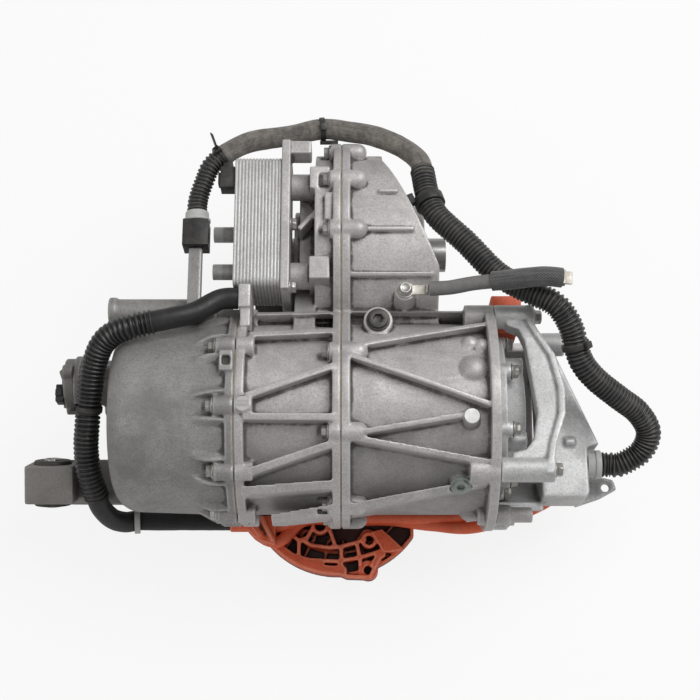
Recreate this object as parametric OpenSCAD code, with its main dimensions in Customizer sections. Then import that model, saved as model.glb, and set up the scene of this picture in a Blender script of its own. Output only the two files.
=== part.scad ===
// Electric drive unit: motor on the left, reduction gears and differential in a
// two-piece case, power electronics in the right-hand barrel.
// X runs along the motor axis, Y towards the axle, Z up. Sizes in millimetres.

/* [Motor] */
// Outer radius of the stator stack
stator_r = 104; // [100:1:108]
// Length of the stator stack
stator_len = 125; // [110:1:130]
// Outer radius of the rotor stack
rotor_r = 69; // [60:1:72]
// Wall of the motor barrel
motor_wall = 9; // [7:0.5:12]
// Length of the motor barrel from its joint to its left end
motor_len = 146; // [146:1:165]
// Radius of the rotor shaft under the stack
shaft_r = 25; // [22:0.5:27]

/* [Gear case] */
// Length of the left case from the split plane to the motor joint
left_len = 118; // [116:1:130]
// Length of the right case from the split plane to its end flange
right_len = 176; // [170:1:190]
// Wall of both cases
case_wall = 8; // [6:0.5:10]
// Height of the stiffening ribs above the barrel
rib_h = 16; // [8:1:20]
// Thickness of the ribs on the right case
rib_t = 6; // [4:0.5:9]
// Thickness of the ribs on the left case
rib_t_left = 8; // [5:0.5:10]
// Width of the split flange outside the wall
flange_w = 15; // [14:0.5:18]
// Thickness of each half of the split flange
flange_t = 10; // [8:0.5:14]
// Height of the valley floor between barrel and axle lobe above the motor axis
valley_z = 44; // [36:1:50]
// Thickness of the sealing bead between castings
seal_t = 0.8; // [0.5:0.1:1.2]

/* [Gears] */
// Distance of the axle line behind the motor axis
axle_y = 220; // [216:1:222]
// Distance of the axle line below the motor axis
axle_drop = 30; // [26:1:34]
// Module of the first gear pair
module_1 = 2.25; // [2.25:0.05:2.35]
// Teeth of the input pinion
teeth_in = 23; // [23:1:24]
// Teeth of the layshaft gear
teeth_lay = 62; // [60:1:63]
// Module of the second gear pair
module_2 = 3; // [3:0.05:3.05]
// Teeth of the layshaft pinion
teeth_lay_out = 20; // [20:1:21]
// Teeth of the ring gear
teeth_ring = 67; // [66:1:68]
// Face width of the first gear pair
face_1 = 28; // [22:1:30]
// Face width of the second gear pair
face_2 = 34; // [28:1:36]
// Backlash of the tooth flanks, along the pitch circle
backlash = 0.5; // [0.4:0.05:0.8]

/* [Axle] */
// Radius of the socket bore in each output hub
socket_r = 14; // [12:0.5:15]
// Depth of the socket bore
socket_len = 40; // [30:1:42]
// Radius of the output hub
hub_r = 21; // [20:0.5:23]
// Distance of the right output mouth from the split plane
out_right_x = 128; // [124:1:136]
// Distance of the left output mouth from the split plane
out_left_x = 70; // [68:1:80]

/* [Electronics] */
// Distance the end cover stands out of the end flange
cover_len = 34; // [28:1:36]
// Length of the inverter housing beyond the end flange
inverter_len = 142; // [135:1:150]
// Outer radius of the inverter housing skirt
inverter_r = 110; // [106:0.5:114]

/* [Mounts] */
// Radius of the bolt tubes on the right mount bracket
bracket_tube_r = 14; // [13:0.5:15]
// Thickness of the bracket web
bracket_t = 20; // [16:1:24]
// Radius of the hole in the bush sleeve
sleeve_r = 6.5; // [6:0.5:8]
// Radius of the bush rubber
rubber_r = 22; // [20:0.5:24]
// Height of the support pads below the motor axis
pad_drop = 168; // [168:1:176]

/* [Hoses and cables] */
// Outer radius of the corrugated conduit
conduit_r = 14.5; // [12:0.5:15]
// Outer radius of the fabric sleeves over the conduit
fabric_r = 12.5; // [11:0.5:13]
// Radius of the braided earth strap
strap_r = 8.5; // [7:0.5:9]
// Radius of the high-voltage cables
hv_r = 7.5; // [6:0.5:8]

/* [Oil cooler] */
// Thickness of the plate pack along X
cooler_t = 55; // [40:1:58]
// Length of the plate pack along Y
cooler_len = 162; // [150:1:170]
// Height of the plate pack
cooler_h = 82; // [70:1:86]
// Number of plates in the pack
cooler_plates = 14; // [8:1:16]
// Radius of the coolant spigots
spigot_r = 9.5; // [8:0.5:11]

/* [Hidden] */
$fn = 64;
eps = 0.01;
fit = 0.3;
running = 0.05;
bolt_r = 4;
bolt_hole_r = bolt_r + fit;
head_r = 7.5;
head_h = 8;
spotface = 13;

motor = [0, 0];
axle = [axle_y, -axle_drop];
bay_r = stator_r + fit;
motor_r = bay_r + motor_wall;
case_r = bay_r + case_wall;
rib_r = case_r + rib_h;
flange_r = case_r + flange_w;
joint_x = -left_len;
motor_joint_x = joint_x - seal_t;
motor_end_x = motor_joint_x - motor_len;
end_wall = 14;

// Gear sizes
in_r = module_1 * teeth_in / 2;
lay_r = module_1 * teeth_lay / 2;
lay_out_r = module_2 * teeth_lay_out / 2;
ring_r = module_2 * teeth_ring / 2;
lay_tip_r = lay_r + module_1;
ring_tip_r = ring_r + module_2;
gear_gap = 6;
lobe_room = 11;
lobe_in_r = ring_tip_r + lobe_room;
lobe_r = lobe_in_r + case_wall;
centre_1 = in_r + lay_r;
centre_2 = lay_out_r + ring_r;
centre_axle = norm(axle);

// The layshaft sits where both gear pairs reach, on the lower side
axle_dir = atan2(axle[1], axle[0]);
lay_off = acos((centre_1 * centre_1 + centre_axle * centre_axle - centre_2 * centre_2)
  / (2 * centre_1 * centre_axle));
lay = centre_1 * [cos(axle_dir - lay_off), sin(axle_dir - lay_off)];
to_lay = atan2(lay[1], lay[0]);
lay_to_axle = atan2(axle[1] - lay[1], axle[0] - lay[0]);

// Stations along X
gear_1_x1 = -12;
gear_1_x0 = gear_1_x1 - face_1;
gear_2_x0 = 3;
gear_2_x1 = gear_2_x0 + face_2;
pocket_x = gear_1_x0 - 6;
bulk_x0 = pocket_x - 20;
ring_bay_x = gear_2_x1 + 4;
right_bulk_x0 = ring_bay_x + 22;
right_bulk_x1 = right_bulk_x0 + 12;
left_lobe_x = -32;
cover_x = right_len + seal_t;
skirt_wall = 12;
skirt_gap = 3;
skirt_in_r = inverter_r - skirt_wall;
cover_r = skirt_in_r - skirt_gap;
mouth_r = cover_r - 15;
end_ring_t = 10;

// Bearings: outer radius, inner radius, width
rotor_brg = [34, 20, 15];
lay_brg = [31, 17, 14];
axle_brg = [44, 30, 16];
ball_gap = 0.15;
rotor_brg_left_x = motor_end_x + 6;
rotor_brg_right_x = bulk_x0 + 2;
lay_brg_left_x = pocket_x - 14;
lay_brg_right_x = ring_bay_x + 1;
axle_brg_left_x = -46;
axle_brg_right_x = 72;

// Differential
diff_x = 20;
diff_r = 50;
diff_wall = 8;
diff_flange_r = 74;
bevel_m = 4;
bevel_side = 14;
bevel_spider = 10;
side_pitch = bevel_m * bevel_side / 2;
spider_pitch = bevel_m * bevel_spider / 2;
bevel_face = 0.66;
bevel_back = 8;
bevel_backlash = 1.3;
bevel_tip = 0.55;
bevel_root = 0.75;
diff_half = 34;
cross_pin_r = 8;

// Split-plane bolts, by angle about each axis, anticlockwise seen from the right
bolt_path_m = flange_r - 8;
bolt_path_a = lobe_r + flange_w - 8;
bolts_m = [66, 112, 160, 200, 238];
bolts_a = [98, 68, 38, 4, -30, -62];
function around(c, r, a) = [c[0] + r * cos(a), c[1] + r * sin(a)];
split_bolts = concat([for (a = bolts_m) around(motor, bolt_path_m, a)],
  [for (a = bolts_a) around(axle, bolt_path_a, a)]);
split_boss_r = 11;
split_boss_len = 30;

joint_bolts = [for (i = [0:9]) around(motor, flange_r - 8, 98 + i * 36)];
joint_ear_r = 11;
joint_ear_len = 23;

end_flange_r = flange_r + 4;
end_flange_t = 11;
cover_bolts = [for (i = [0:7]) around(motor, cover_r - 7, 22.5 + i * 45)];

// Right mount bracket bolts
bracket_hi = [106, 62];
bracket_lo = [-82, 88];
bracket_hi_x = right_len + 47;
bracket_lo_x = right_len + 60;
bracket_out_x = right_len + 76;
bracket_bolt_r = 6;
bracket_arm_x = right_len - 34;

// Bush mount on the left end
bush_at = [-346, -66, -46];
bush_lean = 20;
bush_len = 58;
bush_wall = 7;

// Oil cooler place
cooler_x1 = -71;
cooler_x0 = cooler_x1 - cooler_t;
cooler_y0 = 136;
cooler_z0 = 10;
cooler_plate_t = 10;
cooler_rim = 6;
cooler_shelf = 20;
pedestal_r = 16;
pedestal_z = 54;
pedestal_in = 24;
pedestal_top = 88;
pedestals = [cooler_y0 + pedestal_in, cooler_y0 + cooler_len - pedestal_in];
pedestal_hole_r = 9;

// Oil pump on the motor's left end
pump_at = [47, -8];
pump_r = 27;
pump_len = 58;

// Ends of the lobe's slanted end wall, in plan
slant_near = [114, 164];
slant_far = [49, 312];
slant_rate = (slant_near[0] - slant_far[0]) / (slant_far[1] - slant_near[1]);

// Places of the output seals
seal_w = 8;

// Drawing helpers

// Round bar along X between two stations
module rod(x0, x1, r, at = [0, 0]) {
  translate([x0, at[0], at[1]])
    rotate([0, 90, 0])
      cylinder(h = x1 - x0, r = r);
}

// Tapered round bar along X
module taper(x0, x1, r0, r1, at = [0, 0]) {
  translate([x0, at[0], at[1]])
    rotate([0, 90, 0])
      cylinder(h = x1 - x0, r1 = r0, r2 = r1);
}

// Ring along X between two stations
module ring(x0, x1, r_out, r_in, at = [0, 0]) {
  difference() {
    rod(x0, x1, r_out, at);
    rod(x0 - 1, x1 + 1, r_in, at);
  }
}

// Flat outline in the YZ plane drawn out along X
module along_x(x0, x1) {
  translate([x0, 0, 0])
    rotate([90, 0, 90])
      linear_extrude(x1 - x0)
        children();
}

// Box between two corners
module block(a, b) {
  translate(a)
    cube(b - a);
}

// Profile of radius and X turned about the motor axis
module turned() {
  rotate([0, 90, 0])
    rotate_extrude()
      children();
}

// Four points of the belt round two circles
function belt(c1, r1, c2, r2) = let (
    d = norm(c2 - c1),
    th = atan2(c2[1] - c1[1], c2[0] - c1[0]),
    k = acos((r1 - r2) / d))
  [around(c1, r1, th + k), around(c1, r1, th - k), around(c2, r2, th - k), around(c2, r2, th + k)];

// Two circles and the belt round them
module lens(c1, r1, c2, r2) {
  translate(c1)
    circle(r1);
  translate(c2)
    circle(r2);
  polygon(belt(c1, r1, c2, r2));
}

// Axle lobe and the web joining it to the barrel, grown by o
module lobe_outline(o = 0) {
  b = belt(motor, case_r + o, axle, lobe_r + o);
  translate(axle)
    circle(lobe_r + o);
  polygon([b[1], b[2], [axle[0], valley_z + o], [0, valley_z + o]]);
}

// Full case outline, grown by o
module case_outline(o = 0) {
  circle(case_r + o);
  lobe_outline(o);
}

// Upright plates between plan points, trimmed to the rib envelope
module plan_ribs(lines, t, x0, x1) {
  intersection() {
    rod(x0, x1, rib_r);
    union() {
      for (l = lines)
        translate([l[0][0], l[0][1], 0])
          rotate([0, 0, atan2(l[1][1] - l[0][1], l[1][0] - l[0][0])])
            translate([0, -t / 2, 0])
              cube([norm(l[1] - l[0]), t, rib_r]);
    }
  }
}

// Hexagon-head flange bolt along X, its head at x pointing in direction dir
module bolt_x(x, at, len, dir) {
  translate([x, at[0], at[1]])
    rotate([0, 90 * dir, 0]) {
      cylinder(h = 2, r = head_r + 2);
      cylinder(h = head_h, r = head_r, $fn = 6);
      translate([0, 0, -len])
        cylinder(h = len + eps, r = bolt_r);
    }
}

// Involute helpers: polar angle of the flank at radius r
function flank(r, rb) = r <= rb ? 0 : let (a = acos(rb / r)) tan(a) * 180 / PI - a;
function tooth_half(m, z, r, gap) = let (rp = m * z / 2, rb = rp * cos(20))
  90 / z + flank(rp, rb) - flank(r, rb) - gap / 2 / rp * 90 / PI;

// Gear outline with one tooth pointing along the first axis
module gear_outline(m, z, gap, tip = 1, root = 1.2) {
  rp = m * z / 2;
  radii = [rp - root * m, rp - 0.35 * m, rp + 0.3 * m, rp + tip * m];
  half = [for (r = radii) tooth_half(m, z, r, gap)];
  polygon([for (i = [0:z - 1], s = [-1, 1], k = (s < 0 ? [0:3] : [3:-1:0]))
    around([0, 0], radii[k], i * 360 / z + s * half[k])]);
}

// Ball bearing: outer ring and balls
module bearing(x, at, size) {
  pitch = (size[0] + size[1]) / 2;
  ball = (size[0] - size[1]) / 4;
  ring(x, x + size[2], size[0] - running, pitch + ball, at);
  for (i = [0:8])
    translate([x + size[2] / 2, at[0], at[1]])
      rotate([i * 40, 0, 0])
        translate([0, pitch, 0])
          sphere(ball - ball_gap);
}

// Inner ring of the same bearing
module bearing_inner(x, at, size) {
  pitch = (size[0] + size[1]) / 2;
  ball = (size[0] - size[1]) / 4;
  ring(x, x + size[2], pitch - ball, size[1], at);
}

// Smooth curve through hand-picked points
function bow(a, b, c, d, t) = 0.5 * ((2 * b) + (c - a) * t + (2 * a - 5 * b + 4 * c - d) * t * t
  + (3 * b - a - 3 * c + d) * t * t * t);
function smooth(p, n) = let (last = len(p) - 1) concat(
  [for (i = [0:last - 1], k = [0:n - 1])
    bow(p[max(i - 1, 0)], p[i], p[i + 1], p[min(i + 2, last)], k / n)], [p[last]]);
function unit(v) = v / norm(v);

// Hose of radius r along the points of a run, from one index to another
module hose(p, from, to, r, sides = 12) {
  last = len(p) - 1;
  n = to - from;
  rings = [for (i = [from:to])
    let (
      t = unit(p[min(i + 1, last)] - p[max(i - 1, 0)]),
      u = unit(cross(abs(t[2]) < 0.9 ? [0, 0, 1] : [1, 0, 0], t)),
      w = cross(t, u))
    for (k = [0:sides - 1]) p[i] + r * (cos(k * 360 / sides) * u + sin(k * 360 / sides) * w)];
  walls = [for (i = [0:n - 1], k = [0:sides - 1])
    let (m = (k + 1) % sides)
    each [[i * sides + k, (i + 1) * sides + k, i * sides + m],
      [i * sides + m, (i + 1) * sides + k, (i + 1) * sides + m]]];
  caps = concat([for (k = [1:sides - 2]) [0, k, k + 1]],
    [for (k = [1:sides - 2]) [n * sides, n * sides + k + 1, n * sides + k]]);
  polyhedron(points = rings, faces = concat(walls, caps));
}

// Castings

left_ribs = [
  [[-100, 108], [-12, 112]],
  [[-104, 70], [-8, 76]],
  [[-105, -8], [-8, 28]],
  [[-108, -30], [-8, -31]],
  [[-108, -88], [-8, -58]],
  [[-112, -103], [-8, -97]],
  [[-80, -126], [-8, -118]]];

module left_case() color("silver") difference() {
  union() {
    rod(joint_x, -seal_t, case_r);
    along_x(left_lobe_x, -seal_t)
      lobe_outline();
    along_x(pocket_x - 10, left_lobe_x + 1)
      lens(motor, case_r - 1, lay, lay_tip_r + gear_gap + case_wall);
    along_x(-flange_t, -seal_t)
      case_outline(flange_w);
    rod(joint_x, joint_x + 10, flange_r - 3);
    plan_ribs(left_ribs, rib_t_left, joint_x + 4, -seal_t);
    for (p = joint_bolts)
      rod(joint_x, joint_x + 20, joint_ear_r, p);
    for (p = split_bolts)
      rod(-flange_t - 4, -seal_t, split_boss_r, p);
    for (y = pedestals)
      rod(cooler_x1 + cooler_plate_t, left_lobe_x + 1, pedestal_r, [y, pedestal_z]);
    for (y = pedestals)
      block([left_lobe_x - 6, y - pedestal_r + 1, pedestal_z - 24], [-flange_t - 4, y + pedestal_r - 3, pedestal_top]);
    cooler_wall();
    rod(axle_brg_left_x - seal_w - 4, left_lobe_x + 1, axle_brg[0] + 9, axle);
    block([-2 * flange_t, axle_y - 6, 60], [1 - flange_t, axle_y + 28, 100]);
    lift_eye();
    translate([-108, -17, 0])
      cylinder(h = rib_r, r = 9);
    block([joint_x, 106, 40], [joint_x + 14, 134, 100]);
    pad(left_pad_at, 0);
    guard_mount(guard_fix[0], -guard_lug[2] * 2);
    filter_seat();
  }
  rod(joint_x - 1, bulk_x0, bay_r);
  along_x(pocket_x, 1)
    lens(motor, bay_r, lay, lay_tip_r + gear_gap);
  along_x(left_lobe_x + case_wall, 1)
    lobe_outline(-case_wall);
  rod(rotor_brg_right_x, pocket_x + 1, rotor_brg[0]);
  rod(bulk_x0 - 1, pocket_x, rotor_brg[1] + 4);
  rod(lay_brg_left_x, pocket_x + 1, lay_brg[0], lay);
  rod(axle_brg_left_x, 0, axle_brg[0], axle);
  rod(axle_brg_left_x - seal_w - 5, 0, axle_brg[0] - 6, axle);
  for (p = split_bolts) {
    rod(-flange_t - 5, 1, bolt_hole_r, p);
    rod(-flange_t - 4 - spotface, -flange_t - 4, head_r + 2.5, p);
  }
  for (p = joint_bolts)
    rod(joint_x - 1, joint_x + 17, bolt_hole_r, p);
  for (y = pedestals)
    rod(cooler_x1, left_lobe_x + case_wall + 1, pedestal_hole_r, [y, pedestal_z]);
  busbar_slots(bulk_x0 - 1, pocket_x + 1);
  rod(filter_x1 - 1, left_lobe_x + case_wall + 1, filter_stub_r + fit, filter_at);
  pad_hole(left_pad_at);
}

// Wall joining the cooler pedestals, with a slanted web standing on it
module cooler_wall() {
  block([cooler_x1 + cooler_plate_t + head_h + 2, pedestals[0], 10], [left_lobe_x + 1, pedestals[1], 40]);
  translate([cooler_x1 + cooler_plate_t + head_h + 4, axle_y - 8, 38])
    rotate([0, 0, 48])
      cube([44, rib_t, 32]);
}

// Lifting eye on the motor joint
module lift_eye() {
  difference() {
    block([joint_x + 2, 84, 40], [joint_x + 14, 112, 96]);
    rod(joint_x, joint_x + 16, 7, [98, 82]);
  }
}

// Support pad under the left case
pad_size = 44;
pad_hole_r = 5.1;
pad_depth = 25;
left_pad_at = [joint_x + 14 + pad_size / 2, -44];
module pad(at, top) {
  block([at[0] - pad_size / 2, at[1] - pad_size / 2, -pad_drop], [at[0] + pad_size / 2, at[1] + pad_size / 2, top]);
}
module pad_hole(at) {
  translate([at[0], at[1], -pad_drop - 1])
    cylinder(h = pad_depth + 1, r = pad_hole_r);
}

// Oil filter place, low on the left lobe
filter_at = [200, -116];
filter_r = 30;
filter_x0 = -112;
filter_x1 = left_lobe_x - 4;
filter_stub_r = 12;
module filter_seat() {
  rod(filter_x1, left_lobe_x + 1, filter_r - 2, filter_at);
}

right_ribs = [
  [[6, 52], [right_len - 12, 87]],
  [[6, 43], [right_len - 12, -17]],
  [[6, -49], [right_len - 26, -26]],
  [[6, -51], [right_len - 12, -77]],
  [[6, -117], [right_len - 12, -94]]];
// Ridges across the lobe: start and end along X, place along Y
lobe_ridges = [[43, 66, 251], [28, 84, 201], [11, 106, 151]];
ridge_t = 5;
ridge_h = 6;
// Round swellings beside the end flange: place and radius
swellings = [[[right_len - 28, 28, 100], 18], [[right_len - 26, -106, -8], 15],
  [[right_len - 30, 63, 90], 10], [[right_len - 17, 59, 93], 10]];
// Pipe stub and clamp boss low on the near side of the end flange
stub_at = [-116, 6];
stub_r = 9;
stub_len = 44;
plug_at = [42, 96];
plug_boss_r = 17;
plug_top = 80;
lug_at = [73, 128];
drain_x = right_len - 43;
drain_lean = 53;

module right_case() color("silver") difference() {
  union() {
    rod(0, right_len, case_r);
    right_lobe();
    along_x(0, flange_t)
      case_outline(flange_w);
    rod(right_len - end_flange_t, right_len, end_flange_r);
    plan_ribs(right_ribs, rib_t, 1, right_len - 4);
    right_ridges();
    for (p = split_bolts) {
      rod(0, split_boss_len - split_boss_r, split_boss_r, p);
      translate([split_boss_len - split_boss_r, p[0], p[1]])
        sphere(split_boss_r);
    }
    for (w = swellings)
      translate(w[0])
        sphere(w[1]);
    rod(right_len - 20, right_len + stub_len, stub_r, stub_at);
    rod(right_len - 20, right_len + stub_len - 26, stub_r + 3, stub_at);
    for (p = [bracket_hi, bracket_lo])
      rod(bracket_arm_x, right_len, bracket_tube_r, p);
    rod(right_bulk_x0 - 3, axle_brg_right_x + axle_brg[2] + seal_w + 4, axle_boss_r, axle);
    translate([plug_at[0], plug_at[1], 0])
      cylinder(h = plug_top, r = plug_boss_r);
    translate([lug_at[0], lug_at[1], 20])
      cylinder(h = lug_top - 20, r = 12);
    translate([right_len - 33, -31, 0])
      cylinder(h = rib_r, r = 9);
    on_drain(case_r - 6)
      cylinder(h = 12, r = 12);
    pad(right_pad_at, 0);
    guard_mount(guard_fix[1], -guard_lug[2] * 2);
    pad(lobe_pad_at, -axle_drop - lobe_in_r + 20);
  }
  along_x(-1, ring_bay_x)
    case_outline(-case_wall);
  rod(-1, right_bulk_x0, bay_r);
  taper(ring_bay_x - 1, axle_brg_right_x, axle_brg[0] + 20, axle_brg[0] + 8, axle);
  rod(right_bulk_x1, right_len - end_ring_t, bay_r);
  rod(right_bulk_x1, right_len + 1, mouth_r);
  rod(ring_bay_x - 1, lay_brg_right_x + lay_brg[2], lay_brg[0], lay);
  rod(ring_bay_x, axle_brg_right_x + axle_brg[2], axle_brg[0], axle);
  rod(ring_bay_x, out_right_x, axle_brg[0] - 6, axle);
  for (p = split_bolts)
    rod(-1, split_boss_len - 6, bolt_hole_r, p);
  for (p = [bracket_hi, bracket_lo])
    rod(bracket_arm_x - 1, right_len + 1, bracket_bolt_r + fit, p);
  for (p = cover_bolts)
    rod(right_len - end_ring_t - 1, right_len + 1, bolt_hole_r, p);
  for (p = skirt_bolts)
    rod(right_len - end_flange_t - 1, right_len + 1, bolt_hole_r, p);
  translate([plug_at[0], plug_at[1], plug_top - 18])
    cylinder(h = 19, r = plug_r + fit);
  translate([lug_at[0], lug_at[1], lug_top - 22])
    cylinder(h = 23, r = bolt_r + fit);
  on_drain(case_r - 16)
    cylinder(h = 30, r = plug_r + fit);
  on_drain(case_r + 6)
    cylinder(h = 24, r = plug_r + 4);
  busbar_slots(right_bulk_x0 - 1, right_bulk_x1 + 1);
  pad_hole(right_pad_at);
  pad_hole(lobe_pad_at);
  rod(right_len + stub_len - 14, right_len + stub_len + 1, stub_r - 3, stub_at);
}
lug_top = 92;
plug_r = 9;
axle_boss_r = axle_brg[0] + 18;
right_pad_at = [right_len - 70 + pad_size / 2, -44];
lobe_pad_at = [14 + pad_size / 2, axle_y - 8];

// Axle lobe with its slanted end
module right_lobe() {
  intersection() {
    along_x(0, slant_near[0])
      lobe_outline();
    translate([0, 0, -300])
      linear_extrude(600)
        polygon([[0, -200], [slant_near[0], -200], slant_near, slant_far, [slant_far[0], 400], [0, 400]]);
  }
}

// Ridges across the lobe, trimmed to the lobe grown by their height
module right_ridges() {
  intersection() {
    along_x(2, slant_near[0])
      lobe_outline(ridge_h);
    union() {
      for (l = lobe_ridges)
        block([l[0], l[2], 0], [l[1], l[2] + ridge_t, 140]);
    }
  }
  intersection() {
    rod(2, right_len - 2, rib_r);
    block([2, 112, 20], [right_len - 2, 112 + rib_t, 90]);
  }
}

// Places an upright piece at the drain plug, tilted to the barrel
module on_drain(r) {
  translate([drain_x, 0, 0])
    rotate([drain_lean, 0, 0])
      translate([0, 0, r])
        children();
}

// Slots for the three phase bars through a bulkhead
busbar_at = [165, 180, 195];
busbar_r = 88;
busbar_w = 14;
busbar_t = 4;
module busbar_slots(x0, x1) {
  for (a = busbar_at)
    rotate([a, 0, 0])
      block([x0, busbar_r - busbar_t / 2 - 1, -busbar_w / 2 - 1],
        [x1, busbar_r + busbar_t / 2 + 1, busbar_w / 2 + 1]);
}

corner_r = 30;
end_draft = 4;
end_bay_r = stator_r - 6;
window_at = [-128, 34];
window_size = [16, 24, 126];
module motor_housing() color("silver") difference() {
  union() {
    turned()
      polygon(concat([[0, motor_end_x]], [for (a = [0:10:90])
        [motor_r - end_draft - corner_r + corner_r * sin(a), motor_end_x + corner_r - corner_r * cos(a)]],
        [[motor_r, motor_joint_x], [0, motor_joint_x]]));
    rod(motor_joint_x - 10, motor_joint_x, flange_r - 3);
    for (p = joint_bolts)
      rod(motor_joint_x - joint_ear_len, motor_joint_x, joint_ear_r, p);
    motor_arm();
    bush_mount();
    rod(motor_end_x - 6, motor_end_x + 1, pump_r + 4, pump_at);
    block([window_at[0] - window_size[0] / 2, window_at[1] - window_size[1] / 2, 90],
      [window_at[0] + window_size[0] / 2, window_at[1] + window_size[1] / 2, window_size[2]]);
  }
  translate([window_at[0], window_at[1], window_size[2]])
    cube([9, 11, 14], center = true);
  rod(motor_end_x + end_wall, motor_joint_x + 1, end_bay_r);
  rod(stator_x0 - 4, motor_joint_x + 1, bay_r);
  rod(rotor_brg_left_x, motor_end_x + end_wall + 1, rotor_brg[0]);
  for (p = joint_bolts) {
    rod(motor_joint_x - joint_ear_len - 1, motor_joint_x + 1, bolt_hole_r, p);
    rod(motor_joint_x - joint_ear_len - spotface, motor_joint_x - joint_ear_len, head_r + 2.5, p);
  }
  rod(arm_x0 - 1, arm_x0 + 30, arm_hole_r, arm_at);
  on_bush()
    cylinder(h = bush_len + 2, r = rubber_r, center = true);
  rod(motor_end_x - 7, motor_end_x + 6, bolt_r + 1, pump_at);
}

// Mount tube along the upper rear edge of the motor
arm_at = [124, 30];
arm_r = 15;
arm_x0 = -276;
arm_x1 = cooler_x0 - 4;
arm_hole_r = 5.1;
// Harness socket on its arm: place of its near face, half width and length
socket_at = [-172, 190, 66];
socket_half = 15;
socket_len_y = 32.3;
module motor_arm() {
  rod(arm_x0, arm_x1, arm_r, arm_at);
  rod(arm_x0, arm_x0 + 9, arm_r + 2, arm_at);
  block([arm_x0 + 16, 90, 8], [motor_joint_x, arm_at[0], 16]);
  block([socket_at[0] - 8, arm_at[0] - 12, arm_at[1]], [socket_at[0] + 8, arm_at[0] + 4, socket_at[2] + 6]);
  block([socket_at[0] - 8, arm_at[0], socket_at[2] - 6], [socket_at[0] + 8, socket_at[1], socket_at[2] + 6]);
}

// Bush barrel on the left end, joined by a web
module on_bush() {
  translate(bush_at)
    rotate([bush_lean - 90, 0, 0])
      children();
}
module bush_mount() {
  on_bush()
    cube([2 * (rubber_r + bush_wall), 2 * (rubber_r + bush_wall) - 4, bush_len - 12], center = true);
  difference() {
    block([bush_at[0] + 12, bush_at[1] - 18, -92], [motor_end_x + 6, bush_at[1] + 30, -50]);
    on_bush()
      cylinder(h = bush_len + 40, r = rubber_r, center = true);
  }
}

module bush_rubber() color("dimgray") on_bush() difference() {
  cylinder(h = bush_len - 4, r = rubber_r - running, center = true);
  cylinder(h = bush_len, r = sleeve_r + 3.5 + running, center = true);
}

module bush_sleeve() color("gainsboro") on_bush() difference() {
  cylinder(h = bush_len, r = sleeve_r + 3.5, center = true);
  cylinder(h = bush_len + 2, r = sleeve_r, center = true);
}

// Right-hand end

module end_cover() color("gainsboro") difference() {
  union() {
    rod(cover_x, cover_x + 10, cover_r);
    taper(cover_x + 9, cover_x + cover_len, mouth_r - 4, mouth_r - 20);
    for (p = cover_bolts)
      rod(cover_x, cover_x + 16, head_r + 1.5, p);
    for (a = [37, 127, 217, 307])
      rod(cover_x + 8, cover_x + cover_len, 10, around(motor, mouth_r - 14, a));
  }
  taper(cover_x - 1, cover_x + cover_len - 6, mouth_r - 8, mouth_r - 27);
  for (p = cover_bolts)
    rod(cover_x - 1, cover_x + 17, bolt_hole_r, p);
}

// Inverter housing: a half barrel under the end cover, widening to a slanted box
inverter_top = -8;
inverter_floor = -74;
inverter_wall = 6;
skirt_bolts = [for (a = [200, 235, 270, 305, 340]) around(motor, inverter_r + 9, a)];
box_gap = 24;
box_x0 = cover_x + cover_len + box_gap;
box_near = -92;
inverter_x1 = right_len + inverter_len;
mount_boss_at = [92, 2];
mount_boss_r = 14;
mount_boss_x1 = right_len + 90;
port_x = inverter_x1 - 28;
box_far = 118;
slope_at = [port_x + 14, -28];
slope_run = 62;
slope_rate = slope_run / (box_far - slope_at[1]);
inverter_plan = [[box_x0, box_near], [port_x - 4, box_near], [port_x, box_near + 6], [port_x, slope_at[1] - 4],
  slope_at, [slope_at[0] - slope_run, box_far], [box_x0, box_far + 12]];

module inverter_block(plan, r, top) {
  intersection() {
    rod(box_x0, inverter_x1 + 1, r);
    translate([0, 0, inverter_floor])
      linear_extrude(top - inverter_floor)
        polygon(plan);
  }
}
function slope_y(x) = slope_at[1] + (slope_at[0] - 1.1 * inverter_wall - x) / slope_rate;
inner_x = [box_x0 + inverter_wall, port_x - inverter_wall];
inverter_inner = [[inner_x[0], box_near + inverter_wall], [inner_x[1], box_near + inverter_wall],
  [inner_x[1], slope_y(inner_x[1])], [inner_x[0], slope_y(inner_x[0])]];

module inverter_housing() color("gainsboro") difference() {
  union() {
    intersection() {
      ring(right_len, box_x0 + 3, inverter_r - 1.5, skirt_in_r);
      block([right_len - 1, -200, -200], [box_x0 + 4, 200, inverter_top - 20]);
    }
    inverter_block(inverter_plan, inverter_r, inverter_top);
    for (p = skirt_bolts)
      rod(right_len, right_len + 20, 12.5, p);
    rod(box_x0 + 2, mount_boss_x1, mount_boss_r, mount_boss_at);
    rod(inverter_x1 - 55, inverter_x1 - 43, 5, [-26, inverter_top + 1]);
  }
  translate([0, 0, -inverter_wall])
    inverter_block(inverter_inner, inverter_r - inverter_wall, inverter_top);
  for (p = skirt_bolts)
    rod(right_len - 1, right_len + 21, bolt_hole_r, p);
  rod(mount_boss_x1 - 30, mount_boss_x1 + 1, arm_hole_r, mount_boss_at);
  rod(port_x - 10, port_x + 1, conduit_r - 5, plug_port);
}
plug_port = [-50, -21];
collar_r = 17;
collar_len = 16;
hv_entry = [[inverter_x1 - 64, -36], [inverter_x1 - 42, -36]];
foot_hole = [port_x + 30, -66];

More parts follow.
